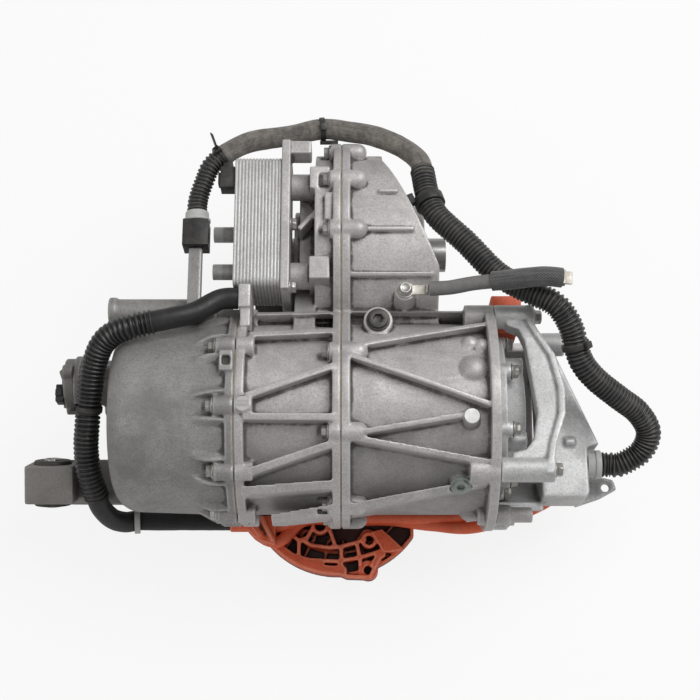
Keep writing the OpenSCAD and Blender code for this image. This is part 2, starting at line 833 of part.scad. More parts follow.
// Lid closing the inverter box from below, with its corner foot
module inverter_lid() color("gainsboro") difference() {
  union() {
    intersection() {
      rod(box_x0 + 4, inverter_x1 + 1, inverter_r - 1);
      translate([0, 0, inverter_floor - 7])
        linear_extrude(7)
          polygon(inverter_plan);
    }
    translate([0, 0, inverter_floor - 7])
      linear_extrude(7)
        polygon([[port_x - 8, box_near + 2], [port_x + 22, -80], [port_x + 44, -68], [port_x + 40, -56],
          [port_x - 8, -44]]);
  }
  translate([foot_hole[0], foot_hole[1], inverter_floor - 8])
    cylinder(h = 10, r = 5);
  for (p = hv_entry)
    translate([p[0], p[1], inverter_floor - 8])
      cylinder(h = 10, r = hv_r + 0.8);
}

// C-shaped bracket carrying the right mount, held by two long bolts
bracket_turn = atan2(bracket_lo[1] - bracket_hi[1], bracket_hi[0] - bracket_lo[0]);
bracket_ends = [[bracket_hi, bracket_hi_x], [bracket_lo, bracket_lo_x]];
bracket_edge = [[bracket_hi_x - 3, 104], [bracket_hi_x - 1, 80], [bracket_hi_x + 6, 66],
  [bracket_out_x - 8, 40], [bracket_out_x, 0], [bracket_out_x - 1, -32], [bracket_lo_x + 3, -68],
  [bracket_lo_x - 3, -104]];
bracket_plan = concat(bracket_edge, [[right_len + 14, -104],
  [right_len + 14, -78], [right_len + 29, -74], [right_len + 38, -62], [right_len + 44, -30],
  [right_len + 34, 58], [right_len + 28, 74], [right_len + 14, 80], [right_len + 14, 104]]);
rim_w = 8;
rim_h = 4;
module mount_bracket() color("gainsboro") difference() {
  union() {
    for (e = bracket_ends)
      rod(right_len + fit, e[1], bracket_tube_r, e[0]);
    translate([0, (bracket_hi[0] + bracket_lo[0]) / 2, (bracket_hi[1] + bracket_lo[1]) / 2])
      rotate([-bracket_turn, 0, 0])
        translate([0, 0, -bracket_t / 2]) {
          linear_extrude(bracket_t)
            polygon(bracket_plan);
          linear_extrude(bracket_t + rim_h)
            polygon(concat(bracket_edge, [for (i = [len(bracket_edge) - 1:-1:0]) bracket_edge[i] - [rim_w, 0]]));
        }
  }
  for (e = bracket_ends)
    rod(right_len - 1, e[1] + 1, bracket_bolt_r + fit, e[0]);
}

module bracket_bolts() color("slategray") for (e = bracket_ends)
  translate([e[1], e[0][0], e[0][1]])
    rotate([0, 90, 0]) {
      cylinder(h = 2, r = 9.5);
      cylinder(h = 9, r = 8, $fn = 6);
      translate([0, 0, bracket_arm_x + 2 - e[1]])
        cylinder(h = e[1] - bracket_arm_x - 2 + eps, r = bracket_bolt_r);
    }

// Seals and fasteners

module case_seals() color("tan") {
  difference() {
    along_x(-seal_t, 0)
      case_outline(flange_w - 1);
    along_x(-seal_t - 1, 1)
      case_outline(0);
    for (p = split_bolts)
      rod(-seal_t - 1, 1, bolt_hole_r, p);
  }
  difference() {
    rod(motor_joint_x, joint_x, flange_r - 4);
    rod(motor_joint_x - 1, joint_x + 1, bay_r);
    for (p = joint_bolts)
      rod(motor_joint_x - 1, joint_x + 1, bolt_hole_r, p);
  }
  difference() {
    rod(right_len, cover_x, cover_r - 1);
    rod(right_len - 1, cover_x + 1, mouth_r);
    for (p = cover_bolts)
      rod(right_len - 1, cover_x + 1, bolt_hole_r, p);
  }
}

module split_bolts() color("slategray") for (p = split_bolts)
  bolt_x(-flange_t - 4, p, flange_t + 4 + split_boss_len - 8, -1);

module motor_bolts() color("slategray") for (p = joint_bolts)
  bolt_x(motor_joint_x - joint_ear_len, p, joint_ear_len + 15, -1);

module cover_bolts() color("slategray") {
  for (p = cover_bolts)
    bolt_x(cover_x + 16, p, 16 + end_ring_t, 1);
  for (p = skirt_bolts)
    bolt_x(right_len + 20, p, 20 + end_flange_t - 2, 1);
}

module fill_plug() color("darkslategray") translate([plug_at[0], plug_at[1], plug_top]) difference() {
  union() {
    cylinder(h = 3, r = plug_r + 4.5);
    cylinder(h = 7, r = plug_r + 2);
    translate([0, 0, -16])
      cylinder(h = 17, r = plug_r);
  }
  translate([0, 0, 2])
    cylinder(h = 6, r = 6, $fn = 6);
}

module drain_plug() color("olivedrab") on_drain(case_r + 6) difference() {
  union() {
    cylinder(h = 3, r = plug_r + 3);
    cylinder(h = 6, r = plug_r);
    translate([0, 0, -18])
      cylinder(h = 19, r = plug_r);
  }
  translate([0, 0, 1])
    cylinder(h = 6, r = 5, $fn = 6);
}

// Oil circuit

cooler_pitch = cooler_t / cooler_plates;
module oil_cooler() color("lightgray") {
  difference() {
    union() {
      for (i = [0:cooler_plates - 1])
        block([cooler_x0 + i * cooler_pitch, cooler_y0, cooler_z0],
          [cooler_x0 + (i + 0.55) * cooler_pitch, cooler_y0 + cooler_len, cooler_z0 + cooler_h]);
      block([cooler_x0, cooler_y0 + 3, cooler_z0 + 3],
        [cooler_x1, cooler_y0 + cooler_len - 3, cooler_z0 + cooler_h - 3]);
    }
    for (y = pedestals)
      rod(cooler_x0 + 8, cooler_x1 + 1, pedestal_hole_r, [y, pedestal_z]);
    for (y = spigot_y)
      rod(cooler_x0 - 1, cooler_x0 + 10, spigot_r + fit, [y, spigot_z]);
  }
}
spigot_y = [cooler_y0 + 36, cooler_y0 + 84];
spigot_z = cooler_z0 + 26;

module cooler_plate() color("silver") difference() {
  union() {
    block([cooler_x1, cooler_y0 - cooler_rim, cooler_z0 - 4],
      [cooler_x1 + cooler_plate_t, cooler_y0 + cooler_len + cooler_shelf, cooler_z0 + cooler_h + 4]);
    block([cooler_x1, cooler_y0 + cooler_len + 4, shelf_z],
      [left_lobe_x - 4, cooler_y0 + cooler_len + cooler_shelf, cooler_z0 + cooler_h]);
  }
  for (y = pedestals)
    rod(cooler_x1 - 1, cooler_x1 + cooler_plate_t + 1, pedestal_hole_r, [y, pedestal_z]);
  for (p = plate_bolts)
    rod(cooler_x1 - 1, cooler_x1 + cooler_plate_t + 1, bolt_hole_r, p);
}
shelf_z = 62;

module cooler_bolts() color("slategray") for (p = plate_bolts)
  bolt_x(cooler_x1 + cooler_plate_t, p, cooler_plate_t - 1, 1);
plate_bolts = [[cooler_y0 + 2, cooler_z0 + cooler_h - 16], [cooler_y0 + cooler_len / 2, cooler_z0 + cooler_h - 16],
  [cooler_y0 + cooler_len - 2, cooler_z0 + 10]];

module coolant_spigots() color("gray") for (y = spigot_y) difference() {
  union() {
    rod(cooler_x0 - 28, cooler_x0 + 9, spigot_r, [y, spigot_z]);
    rod(cooler_x0 - 3, cooler_x0, spigot_r + 4, [y, spigot_z]);
  }
  rod(cooler_x0 - 29, cooler_x0 + 10, spigot_r - 2, [y, spigot_z]);
}

module oil_filter() color("dimgray") {
  rod(filter_x0, filter_x1, filter_r, filter_at);
  translate([filter_x0 - 10, filter_at[0], filter_at[1]])
    rotate([0, 90, 0])
      cylinder(h = 11, r = 14, $fn = 6);
  rod(filter_x1 - 1, left_lobe_x + case_wall - 1, filter_stub_r, filter_at);
  for (i = [0:17])
    rod(filter_x0 + 4, filter_x0 + 34, 1.6, around(filter_at, filter_r, i * 20));
}

pump_x1 = motor_end_x - 6;
pump_x0 = pump_x1 - pump_len;
module oil_pump() color("silver") difference() {
  union() {
    rod(pump_x0 + 12, pump_x1, pump_r, pump_at);
    rod(pump_x0 + 12, pump_x0 + 20, pump_r + 5, pump_at);
    for (a = [80, 200, 320])
      rod(pump_x1 - 12, pump_x1, 8, around(pump_at, pump_r + 4, a));
  }
  rod(pump_x0 + 11, pump_x1 - 8, pump_r - 5, pump_at);
  rod(pump_x1 - 9, pump_x1 + 1, bolt_r + running, pump_at);
}

module pump_motor() color("dimgray") {
  rod(pump_x0, pump_x0 + 12, pump_r + 2, pump_at);
  ring(pump_x0 + 12, pump_x0 + 30, pump_r - 5 - fit, pump_r - 12, pump_at);
  for (a = [80, 200, 320])
    rod(pump_x0, pump_x0 + 12, 8, around(pump_at, pump_r + 3, a));
  block([pump_x0 - 10, pump_at[0] - pump_r, pump_at[1] - 2], [pump_x0 + 6, pump_at[0] - 6, pump_at[1] + 16]);
}

module pump_rotor() color("slategray") {
  rod(pump_x0 + 14, pump_x1 + 8, bolt_r, pump_at);
  rod(pump_x0 + 14, pump_x0 + 29, pump_r - 13, pump_at);
  translate([pump_x0 + 31, pump_at[0], pump_at[1]])
    rotate([90, 0, 90])
      linear_extrude(7)
        gear_outline(4, 6, 0, 0.8, 0.8);
}

// High-voltage guard under the barrel

guard_at = [-5, -54];
guard_r = 113;
guard_z = -128;
guard_t = 4;
guard_rim = 14;
guard_wall = 4;
guard_holes = [[-42, -118], [32, -118]];
guard_eye = [32, -160];
guard_fix = [[-82, -78], [50, -78]];
guard_lug = [40, 24, 30];
module guard_plan(o) {
  intersection() {
    translate(guard_at)
      circle(guard_r + o);
    polygon([[-106 - o, -69], [72 + o, -69], [72 + o, -96 + o], [88 + o, -96 + o], [88 + o, -136 - o],
      [64 + o, -240], [-106 - o, -240]]);
  }
}
module hv_guard() color("orangered") difference() {
  union() {
    translate([0, 0, guard_z])
      linear_extrude(guard_t)
        guard_plan(0);
    difference() {
      translate([0, 0, guard_z])
        linear_extrude(guard_rim)
          guard_plan(0);
      translate([0, 0, guard_z + guard_t])
        linear_extrude(guard_rim)
          guard_plan(-guard_wall);
      block([-200, -94, guard_z + guard_t], [200, 0, 0]);
    }
    intersection() {
      translate([0, 0, guard_z])
        linear_extrude(guard_rim - 5)
          guard_plan(-1);
      union() {
        for (a = [-130, -115, -100, -85, -70, -55])
          translate([guard_at[0], guard_at[1], guard_z])
            rotate([0, 0, a])
              translate([68, -1.5, 0])
                cube([60, 3, guard_rim]);
        translate([0, 0, guard_z])
          difference() {
            translate(guard_at)
              cylinder(h = guard_rim, r = guard_r - 28);
            translate(guard_at)
              translate([0, 0, -1])
                cylinder(h = guard_rim + 2, r = guard_r - 31);
            block([-200, -94, -1], [200, 200, 40]);
          }
      }
    }
    for (p = guard_holes)
      translate([p[0], p[1], guard_z])
        cylinder(h = guard_rim - 4, r = 10);
    translate([guard_eye[0], guard_eye[1], guard_z])
      cylinder(h = guard_rim + 2, r = 12);
  }
  for (p = guard_holes)
    translate([p[0], p[1], guard_z - 1])
      cylinder(h = guard_rim + 4, r = 6);
  for (p = guard_fix)
    translate([p[0], p[1], guard_z - 1])
      cylinder(h = guard_rim + 4, r = bolt_hole_r);
  translate([guard_eye[0], guard_eye[1], guard_z - 1])
    cylinder(h = guard_rim + 6, r = 5.5);
}

// Lug under a case that a guard bolt runs into
module guard_mount(p, top) {
  difference() {
    block([p[0] - guard_lug[0] / 2, p[1] - guard_lug[1] / 2, guard_z + guard_t + fit],
      [p[0] + guard_lug[0] / 2, p[1] + guard_lug[1] / 2, top]);
    translate([p[0], p[1], guard_z])
      cylinder(h = guard_t + 20, r = bolt_hole_r);
  }
}

module guard_bolts() color("slategray") for (p = guard_fix)
  translate([p[0], p[1], guard_z])
    rotate([180, 0, 0]) {
      cylinder(h = 2, r = head_r + 1);
      cylinder(h = head_h, r = head_r, $fn = 6);
      translate([0, 0, -guard_t - 16])
        cylinder(h = guard_t + 16 + eps, r = bolt_r);
    }

// Connector on the guard with the sheathed harness plugged into it, and the service
// connector on the end flange
connector_x1 = -80;
connector_x0 = connector_x1 - 32;
module hv_connector() color("orangered") {
  difference() {
    union() {
      block([connector_x0, -136, guard_z + guard_rim + 0.5], [connector_x1, -96, -84]);
      rod(connector_x0 - 16, connector_x0 + eps, heat_r + 2, heat_end);
    }
    for (i = [0, 1])
      rod(connector_x1 - 12, connector_x1 + 1, hv_r + 0.8, [hv_start[i][0], hv_start[i][1]]);
  }
  difference() {
    block([right_len + fit, 114, 10], [right_len + 36, 140, 42]);
    rod(right_len + 20, right_len + 37, 9, [127, 26]);
  }
}
hv_start = [[-108, -100], [-126, -100]];
heat_end = [-103, -94];

// Route of one cable along the guard to its entry in the inverter lid
function hv_route(i) = [[connector_x1 - 10, hv_start[i][0], hv_start[i][1]],
  [connector_x1 + 6, hv_start[i][0], hv_start[i][1]],
  [-40, -104 - 16 * i, -103], [10, -102 - 16 * i, -104], [60, -102 - 16 * i, -104], [right_len - 66, -98 - 16 * i, -108],
  [right_len - 6, -88 - 17 * i, -118], [hv_entry[i][0] - 20, hv_entry[i][1] - 22 - 14 * i, -122],
  [hv_entry[i][0], hv_entry[i][1], -106], [hv_entry[i][0], hv_entry[i][1], -90],
  [hv_entry[i][0], hv_entry[i][1], -70]];
module hv_cables() color("orangered") for (i = [0, 1]) {
  run = smooth(hv_route(i), 2);
  hose(run, 0, len(run) - 1, hv_r, 10);
}

// Conduits: one harness over the top from the right-hand socket, one round the left end

right_path = [[port_x + collar_len + 1.6, plug_port[0], plug_port[1]],
  [port_x + collar_len + 10, plug_port[0], plug_port[1]], [330, -50, -18], [353, -37, -8], [360, -17, 6],
  [346, 2, 22], [322, 15, 38], [294, 32, 54], [277, 48, 66], [268, 66, 78], [264, 80, 86],
  [255, 96, 95], [240, 111, 100], [205, 132, 93], [178, 153, 86], [146, 191, 82], [127, 211, 79],
  [112, 229, 75], [104, 248, 71], [100, 268, 66], [97, 290, 62]];
sleeve_path = [[92, 309, 58], [70, 329, 54], [39, 344, 51], [10, 350, 50], [-24, 354, 50], [-64, 343, 54],
  [-110, 330, 64], [-138, 311, 72]];
top_path = [[-156, 294, 73], [-164, 276, 70], [-170, 258, 67], [-172, 246, 66], [-172, 236, 66]];
sleeve_from = 2 * (len(right_path) - 1);
sleeve_to = sleeve_from + 2 * len(sleeve_path);
top_run = smooth(concat(right_path, sleeve_path, top_path), 2);

boot_path = [[joint_x - 1, 121, 84], [-140, 119, 86], [-167, 102, 91], [-195, 93, 96], [-221, 87, 97]];
left_path = [[-239, 82, 98], [-258, 77, 92], [-274, 66, 81], [-285, 45, 64],
  [-291, 18, 46], [-295, -13, 30], [-298, -39, 12], [-296, -64, -6], [-291, -82, -24]];
elbow_path = [[-287, -96, -44], [-277, -105, -68], [-264, -106, -86], [-250, heat_end[0], heat_end[1]]];
heat_path = [[-210, heat_end[0], heat_end[1]], [-170, heat_end[0], heat_end[1]],
  [connector_x0 - 16, heat_end[0], heat_end[1]]];
left_from = 2 * (len(boot_path) - 1);
left_to = left_from + 2 * len(left_path);
heat_from = left_to + 2 * len(elbow_path);
left_run = smooth(concat(boot_path, left_path, elbow_path, heat_path), 2);
top_conduit_r = 12;
heat_r = fabric_r - 1;

module right_conduit() color("dimgray") hose(top_run, 0, sleeve_from, conduit_r);
module top_sleeve() color("gray") hose(top_run, sleeve_from, sleeve_to, fabric_r);
module top_conduit() color("dimgray") hose(top_run, sleeve_to, len(top_run) - 1, top_conduit_r);
module left_conduit() color("dimgray") hose(left_run, left_from, left_to, conduit_r);
module left_boots() color("dimgray") {
  hose(left_run, 0, left_from, fabric_r);
  hose(left_run, left_to, heat_from, fabric_r);
}
module heat_sleeve() color("dimgray") hose(left_run, heat_from, len(left_run) - 1, heat_r);

// Places a piece upright at a point of a run, facing along it
module on_run(p, i) {
  d = p[min(i + 1, len(p) - 1)] - p[max(i - 1, 0)];
  translate(p[i])
    rotate([0, acos(d[2] / norm(d)), atan2(d[1], d[0])])
      children();
}

// Open round collar, its middle at the origin
module collar(len, r_out, r_in) {
  difference() {
    cylinder(h = len, r = r_out, center = true);
    cylinder(h = len + 2, r = r_in, center = true);
  }
}

module conduit_collars() color("lightgray") {
  ring(port_x, port_x + collar_len - 7, collar_r - 2, conduit_r - 5, plug_port);
  ring(port_x + collar_len - 7, port_x + collar_len, collar_r, conduit_r - 5, plug_port);
  on_run(top_run, len(top_run) - 1) {
    translate([0, 0, 5])
      collar(9, top_conduit_r + 2, top_conduit_r - 5);
    translate([0, 0, 11])
      collar(4, top_conduit_r + 4, top_conduit_r - 5);
  }
  on_run(left_run, heat_from)
    collar(7, fabric_r + 3, fabric_r + 0.7);
}

tie_t = 1.4;
tie_w = 6;
tie_at = 2 * (len(right_path) + 4);
clip_at = 2 * 18;
module cable_clips() color("black") {
  on_run(top_run, tie_at)
    collar(tie_w, fabric_r + fit + tie_t, fabric_r + fit);
  translate([top_run[tie_at][0] - 3, axle[0], axle[1]])
    rotate([tie_lean, 0, 0])
      block([0, lobe_r + flange_w + 0.1, -6], [22, tie_reach - fabric_r - 1.5, 6]);
  on_run(top_run, 18)
    collar(tie_w, conduit_r + 0.4 + tie_t, conduit_r + 0.4);
  on_run(left_run, left_from + 11)
    collar(tie_w, conduit_r + 0.4 + tie_t, conduit_r + 0.4);
  block(socket_at - [socket_half, 0, socket_half], socket_at + [socket_half, socket_len_y, socket_half]);
  on_run(top_run, clip_at)
    collar(12, conduit_r + 3.4, conduit_r + 0.4);
  translate([clip_wall_x, top_run[clip_at][1], top_run[clip_at][2]])
    rotate([0, 0, slant_turn])
      block([0.1, -6, -6], [clip_reach - conduit_r - 0.8, 6, 6]);
}
tie_lean = atan2(top_run[tie_at][2] - axle[1], top_run[tie_at][1] - axle[0]);
tie_reach = norm([top_run[tie_at][1] - axle[0], top_run[tie_at][2] - axle[1]]);
slant_turn = atan2(slant_near[0] - slant_far[0], slant_far[1] - slant_near[1]);
clip_wall_x = slant_near[0] - (top_run[clip_at][1] - slant_near[1]) * tan(slant_turn);
clip_reach = (top_run[clip_at][0] - clip_wall_x) * cos(slant_turn);

// Earth strap from the case to the chassis

strap_path = [[101, 128, 98], [124, 128, 102], [152, 130, 111], [190, 130, 122], [226, 131, 130], [248, 130, 128]];
strap_run = smooth(strap_path, 2);
module earth_strap() color("dimgray") hose(strap_run, 0, len(strap_run) - 1, strap_r);
module earth_lug() color("silver") difference() {
  union() {
    translate([lug_at[0], lug_at[1], lug_top])
      cylinder(h = 3, r = 10);
    block([lug_at[0], lug_at[1] - 6, lug_top], [100, lug_at[1] + 6, lug_top + 3]);
    block([96, lug_at[1] - 5, lug_top], [100, lug_at[1] + 5, 100]);
  }
  translate([lug_at[0], lug_at[1], lug_top - 1])
    cylinder(h = 5, r = bolt_hole_r);
}
module earth_bolt() color("slategray") translate([lug_at[0], lug_at[1], lug_top + 3]) {
  cylinder(h = 2, r = head_r + 1);
  cylinder(h = head_h, r = head_r, $fn = 6);
  translate([0, 0, -20])
    cylinder(h = 20 + eps, r = bolt_r);
}

// Motor inside

stator_x0 = motor_end_x + 40;
stator_x1 = stator_x0 + stator_len;
air_gap = 1;
module stator_core() color("slategray") difference() {
  rod(stator_x0, stator_x1, stator_r);
  rod(stator_x0 - 1, stator_x1 + 1, rotor_r + air_gap);
}

winding_len = 18;
module stator_windings() color("chocolate") {
  for (x = [stator_x0 - winding_len, stator_x1])
    ring(x, x + winding_len, stator_r - 7, rotor_r + 6);
}

module rotor_core() color("slategray") difference() {
  rod(stator_x0, stator_x1, rotor_r);
  rod(stator_x0 - 1, stator_x1 + 1, shaft_r + running);
  for (i = [0:7])
    rod(stator_x0 - 1, stator_x1 + 1, 8, around(motor, (rotor_r + shaft_r) / 2, i * 45));
}

module rotor_shaft() color("lightgray") {
  rod(rotor_brg_left_x, rotor_brg_left_x + rotor_brg[2] + 1, rotor_brg[1] - running);
  rod(rotor_brg_left_x + rotor_brg[2], rotor_brg_right_x, shaft_r - 1);
  rod(stator_x0 - 4, stator_x1 + 2, shaft_r);
  rod(rotor_brg_right_x - 1, gear_1_x1 + 4, pinion_seat_r);
  for (x = [rotor_brg_left_x, rotor_brg_right_x])
    bearing_inner(x, motor, rotor_brg);
}
pinion_seat_r = 18;

module rotor_bearings() color("gainsboro") {
  bearing(rotor_brg_left_x, motor, rotor_brg);
  bearing(rotor_brg_right_x, motor, rotor_brg);
}

// Gear train

module input_pinion() color("lightgray") difference() {
  translate([gear_1_x0, 0, 0])
    rotate([90, 0, 90])
      rotate(to_lay)
        linear_extrude(face_1)
          gear_outline(module_1, teeth_in, backlash);
  rod(gear_1_x0 - 1, gear_1_x1 + 1, pinion_seat_r + running);
}

lay_seat_r = 19;
module layshaft() color("lightgray") {
  rod(lay_brg_left_x, lay_brg_right_x + lay_brg[2], lay_brg[1] - running, lay);
  rod(gear_1_x0 - 4, gear_1_x1 + 4, lay_seat_r, lay);
  translate([gear_2_x0, lay[0], lay[1]])
    rotate([90, 0, 90])
      rotate(lay_to_axle)
        linear_extrude(face_2)
          gear_outline(module_2, teeth_lay_out, backlash);
  rod(gear_1_x1 + 4, gear_2_x0 + 1, lay_out_r - 5, lay);
  bearing_inner(lay_brg_left_x, lay, lay_brg);
  bearing_inner(lay_brg_right_x, lay, lay_brg);
}

module layshaft_gear() color("lightgray") difference() {
  translate([gear_1_x0, lay[0], lay[1]])
    rotate([90, 0, 90])
      rotate(to_lay + 180 + 180 / teeth_lay)
        linear_extrude(face_1)
          gear_outline(module_1, teeth_lay, backlash);
  rod(gear_1_x0 - 1, gear_1_x1 + 1, lay_seat_r + running, lay);
  for (i = [0:5])
    rod(gear_1_x0 - 1, gear_1_x1 + 1, 10, around(lay, (lay_r + lay_seat_r) / 2, i * 60));
}

module layshaft_bearings() color("gainsboro") {
  bearing(lay_brg_left_x, lay, lay_brg);
  bearing(lay_brg_right_x, lay, lay_brg);
}

module ring_gear() color("lightgray") difference() {
  translate([gear_2_x0, axle[0], axle[1]])
    rotate([90, 0, 90])
      rotate(lay_to_axle + 180 + 180 / teeth_ring)
        linear_extrude(face_2)
          gear_outline(module_2, teeth_ring, backlash);
  rod(gear_2_x0 - 1, gear_2_x0 + 18, diff_flange_r + running, axle);
  rod(gear_2_x0 - 1, gear_2_x1 + 1, diff_flange_r - 10, axle);
  for (i = [0:9])
    rod(gear_2_x0, gear_2_x1 + 1, bolt_hole_r, around(axle, diff_flange_r - 5.2, i * 36));
}

module diff_case() color("gray") difference() {
  union() {
    rod(diff_x - diff_half, diff_x + diff_half, diff_r, axle);
    rod(gear_2_x0 + 6, gear_2_x0 + 18 - fit, diff_flange_r, axle);
    rod(axle_brg_left_x, diff_x - diff_half + 1, axle_brg[1] - running, axle);
    rod(diff_x + diff_half - 1, axle_brg_right_x + axle_brg[2], axle_brg[1] - running, axle);
    bearing_inner(axle_brg_left_x, axle, axle_brg);
    bearing_inner(axle_brg_right_x, axle, axle_brg);
  }
  rod(diff_x - diff_half + diff_wall, diff_x + diff_half - diff_wall, diff_r - diff_wall, axle);
  rod(axle_brg_left_x - 1, axle_brg_right_x + axle_brg[2] + 1, hub_r + running, axle);
  translate([diff_x, axle[0], axle[1]])
    cylinder(h = 3 * diff_r, r = cross_pin_r + running, center = true);
}

module cross_pin() color("lightgray") translate([diff_x, axle[0], axle[1]])
  cylinder(h = 2 * diff_r - 1, r = cross_pin_r, center = true);

module axle_bearings() color("gainsboro") {
  bearing(axle_brg_left_x, axle, axle_brg);
  bearing(axle_brg_right_x, axle, axle_brg);
}

// Side gear with its output hub; side is 1 for the right, -1 for the left
module output(side, mouth) {
  translate([diff_x, axle[0], axle[1]])
    rotate([0, 90 * side, 0])
      difference() {
        union() {
          translate([0, 0, spider_pitch])
            rotate([180, 0, 0])
              linear_extrude(spider_pitch * (1 - bevel_face), scale = bevel_face)
                gear_outline(bevel_m, bevel_side, bevel_backlash, bevel_tip, bevel_root);
          translate([0, 0, spider_pitch - eps])
            cylinder(h = diff_half - diff_wall - spider_pitch - fit, r = side_pitch - bevel_m);
          translate([0, 0, spider_pitch - 1])
            cylinder(h = mouth - spider_pitch + 1, r = hub_r);
        }
        translate([0, 0, -1])
          cylinder(h = spider_pitch + 2, r = cross_pin_r + 6);
        translate([0, 0, mouth - socket_len])
          cylinder(h = socket_len + 1, r = socket_r);
      }
}
module left_output() color("lightgray") output(-1, out_left_x + diff_x);
module right_output() color("lightgray") output(1, out_right_x - diff_x);

// Spider gear on the cross pin; side is 1 above, -1 below
module spider(side) {
  translate([diff_x, axle[0], axle[1]])
    rotate([90 - 90 * side, 0, 0])
      difference() {
        union() {
          translate([0, 0, side_pitch])
            rotate([180, 0, 180 / bevel_spider])
              linear_extrude(side_pitch * (1 - bevel_face), scale = bevel_face)
                gear_outline(bevel_m, bevel_spider, bevel_backlash, bevel_tip, bevel_root);
          translate([0, 0, side_pitch - eps])
            cylinder(h = bevel_back, r = spider_pitch - 4);
        }
        cylinder(h = 2 * diff_r, r = cross_pin_r + running);
      }
}
module spider_front() color("lightgray") spider(1);
module spider_rear() color("lightgray") spider(-1);

module output_seals() color("saddlebrown") {
  ring(axle_brg_left_x - seal_w - 2, axle_brg_left_x - 2, axle_brg[0] - 6 - running, hub_r + fit, axle);
  x = axle_brg_right_x + axle_brg[2] + 2;
  ring(x, x + seal_w, axle_brg[0] - 6 - running, hub_r + fit, axle);
}

// Electronics in the right-hand barrel

module phase_busbars() color("peru") for (a = busbar_at)
  rotate([a, 0, 0])
    block([stator_x1 + winding_len, busbar_r - busbar_t / 2, -busbar_w / 2],
      [right_bulk_x1 + 14, busbar_r + busbar_t / 2, busbar_w / 2]);

stage_x = right_bulk_x1 + 14;
module power_stage() color("darkslategray") {
  rod(stage_x, stage_x + 8, bay_r - 6);
  rod(stage_x + 8 - eps, stage_x + 44, 52);
  for (i = [0:5])
    rod(stage_x + 8 - eps, stage_x + 20, 15, around(motor, 72, i * 60 + 30));
  for (i = [0:2])
    rod(right_bulk_x1, stage_x + eps, 6, around(motor, bay_r - 16, i * 120 + 20));
}

module control_board() color("darkgreen") {
  rod(stage_x + 44, stage_x + 46, mouth_r - 8);
  for (i = [0:3])
    rod(stage_x + 46 - eps, stage_x + 52, 7, around(motor, 44, i * 90));
}

// Moves the drawing so that the origin lies on the axle line, at the right output's mouth
module unit_frame() {
  translate([-out_right_x, -axle_y, axle_drop])
    children();
}

unit_frame() left_case();
unit_frame() right_case();
unit_frame() motor_housing();
unit_frame() end_cover();
unit_frame() inverter_housing();
unit_frame() inverter_lid();
unit_frame() mount_bracket();
unit_frame() bush_rubber();
unit_frame() bush_sleeve();
unit_frame() case_seals();
unit_frame() split_bolts();
unit_frame() motor_bolts();
unit_frame() cover_bolts();
unit_frame() bracket_bolts();
unit_frame() fill_plug();
unit_frame() drain_plug();
unit_frame() oil_cooler();
unit_frame() cooler_plate();
unit_frame() cooler_bolts();
unit_frame() coolant_spigots();
unit_frame() oil_filter();
unit_frame() oil_pump();
unit_frame() pump_motor();
unit_frame() pump_rotor();
unit_frame() hv_guard();
unit_frame() hv_connector();
unit_frame() hv_cables();
unit_frame() right_conduit();
unit_frame() top_sleeve();
unit_frame() top_conduit();
unit_frame() left_conduit();
unit_frame() left_boots();
unit_frame() heat_sleeve();
unit_frame() conduit_collars();
unit_frame() cable_clips();
unit_frame() guard_bolts();
unit_frame() earth_strap();
unit_frame() earth_lug();
unit_frame() earth_bolt();
unit_frame() stator_core();
unit_frame() stator_windings();
unit_frame() rotor_core();
unit_frame() rotor_shaft();
unit_frame() rotor_bearings();
unit_frame() input_pinion();
unit_frame() layshaft();
unit_frame() layshaft_gear();
unit_frame() layshaft_bearings();
unit_frame() ring_gear();
unit_frame() diff_case();
unit_frame() cross_pin();
unit_frame() axle_bearings();
unit_frame() left_output();
unit_frame() right_output();
unit_frame() spider_front();
unit_frame() spider_rear();
unit_frame() output_seals();
unit_frame() phase_busbars();
unit_frame() power_stage();
unit_frame() control_board();
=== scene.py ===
import math

import bmesh
import bpy
import numpy as np
from mathutils import Matrix, Vector


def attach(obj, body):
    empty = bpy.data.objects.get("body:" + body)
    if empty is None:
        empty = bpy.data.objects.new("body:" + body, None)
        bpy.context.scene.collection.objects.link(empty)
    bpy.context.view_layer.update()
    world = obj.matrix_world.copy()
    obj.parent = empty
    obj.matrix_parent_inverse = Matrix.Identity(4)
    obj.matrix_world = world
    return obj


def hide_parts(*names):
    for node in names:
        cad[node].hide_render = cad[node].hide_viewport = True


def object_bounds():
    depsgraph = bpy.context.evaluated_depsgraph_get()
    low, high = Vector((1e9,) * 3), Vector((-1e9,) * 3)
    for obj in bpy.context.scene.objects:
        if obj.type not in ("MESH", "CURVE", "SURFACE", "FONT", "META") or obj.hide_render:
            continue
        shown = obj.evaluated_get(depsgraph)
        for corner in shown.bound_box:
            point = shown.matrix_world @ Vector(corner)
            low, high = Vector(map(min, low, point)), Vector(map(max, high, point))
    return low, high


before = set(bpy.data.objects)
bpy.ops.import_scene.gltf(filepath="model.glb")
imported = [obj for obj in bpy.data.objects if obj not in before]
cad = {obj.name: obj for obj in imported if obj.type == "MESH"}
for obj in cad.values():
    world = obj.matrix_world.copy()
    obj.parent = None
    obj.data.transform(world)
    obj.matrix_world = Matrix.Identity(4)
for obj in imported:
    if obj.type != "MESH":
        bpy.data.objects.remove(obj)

cad_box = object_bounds()
scene = bpy.context.scene

# Studio
# The unit stands on a pale seamless floor, and a person at the motor side looks steeply down
# on it. A wide soft lamp behind the right shoulder of the unit and the pale room light it.
looked_at = Vector((-0.1184, -0.134, 0.030))
look_down = math.radians(72)
eye_distance = 1.75


def new_piece(name, data, *materials):
    """A shown object at the origin with these materials."""
    for material in materials:
        data.materials.append(material)
    piece = bpy.data.objects.new(name, data)
    scene.collection.objects.link(piece)
    return piece


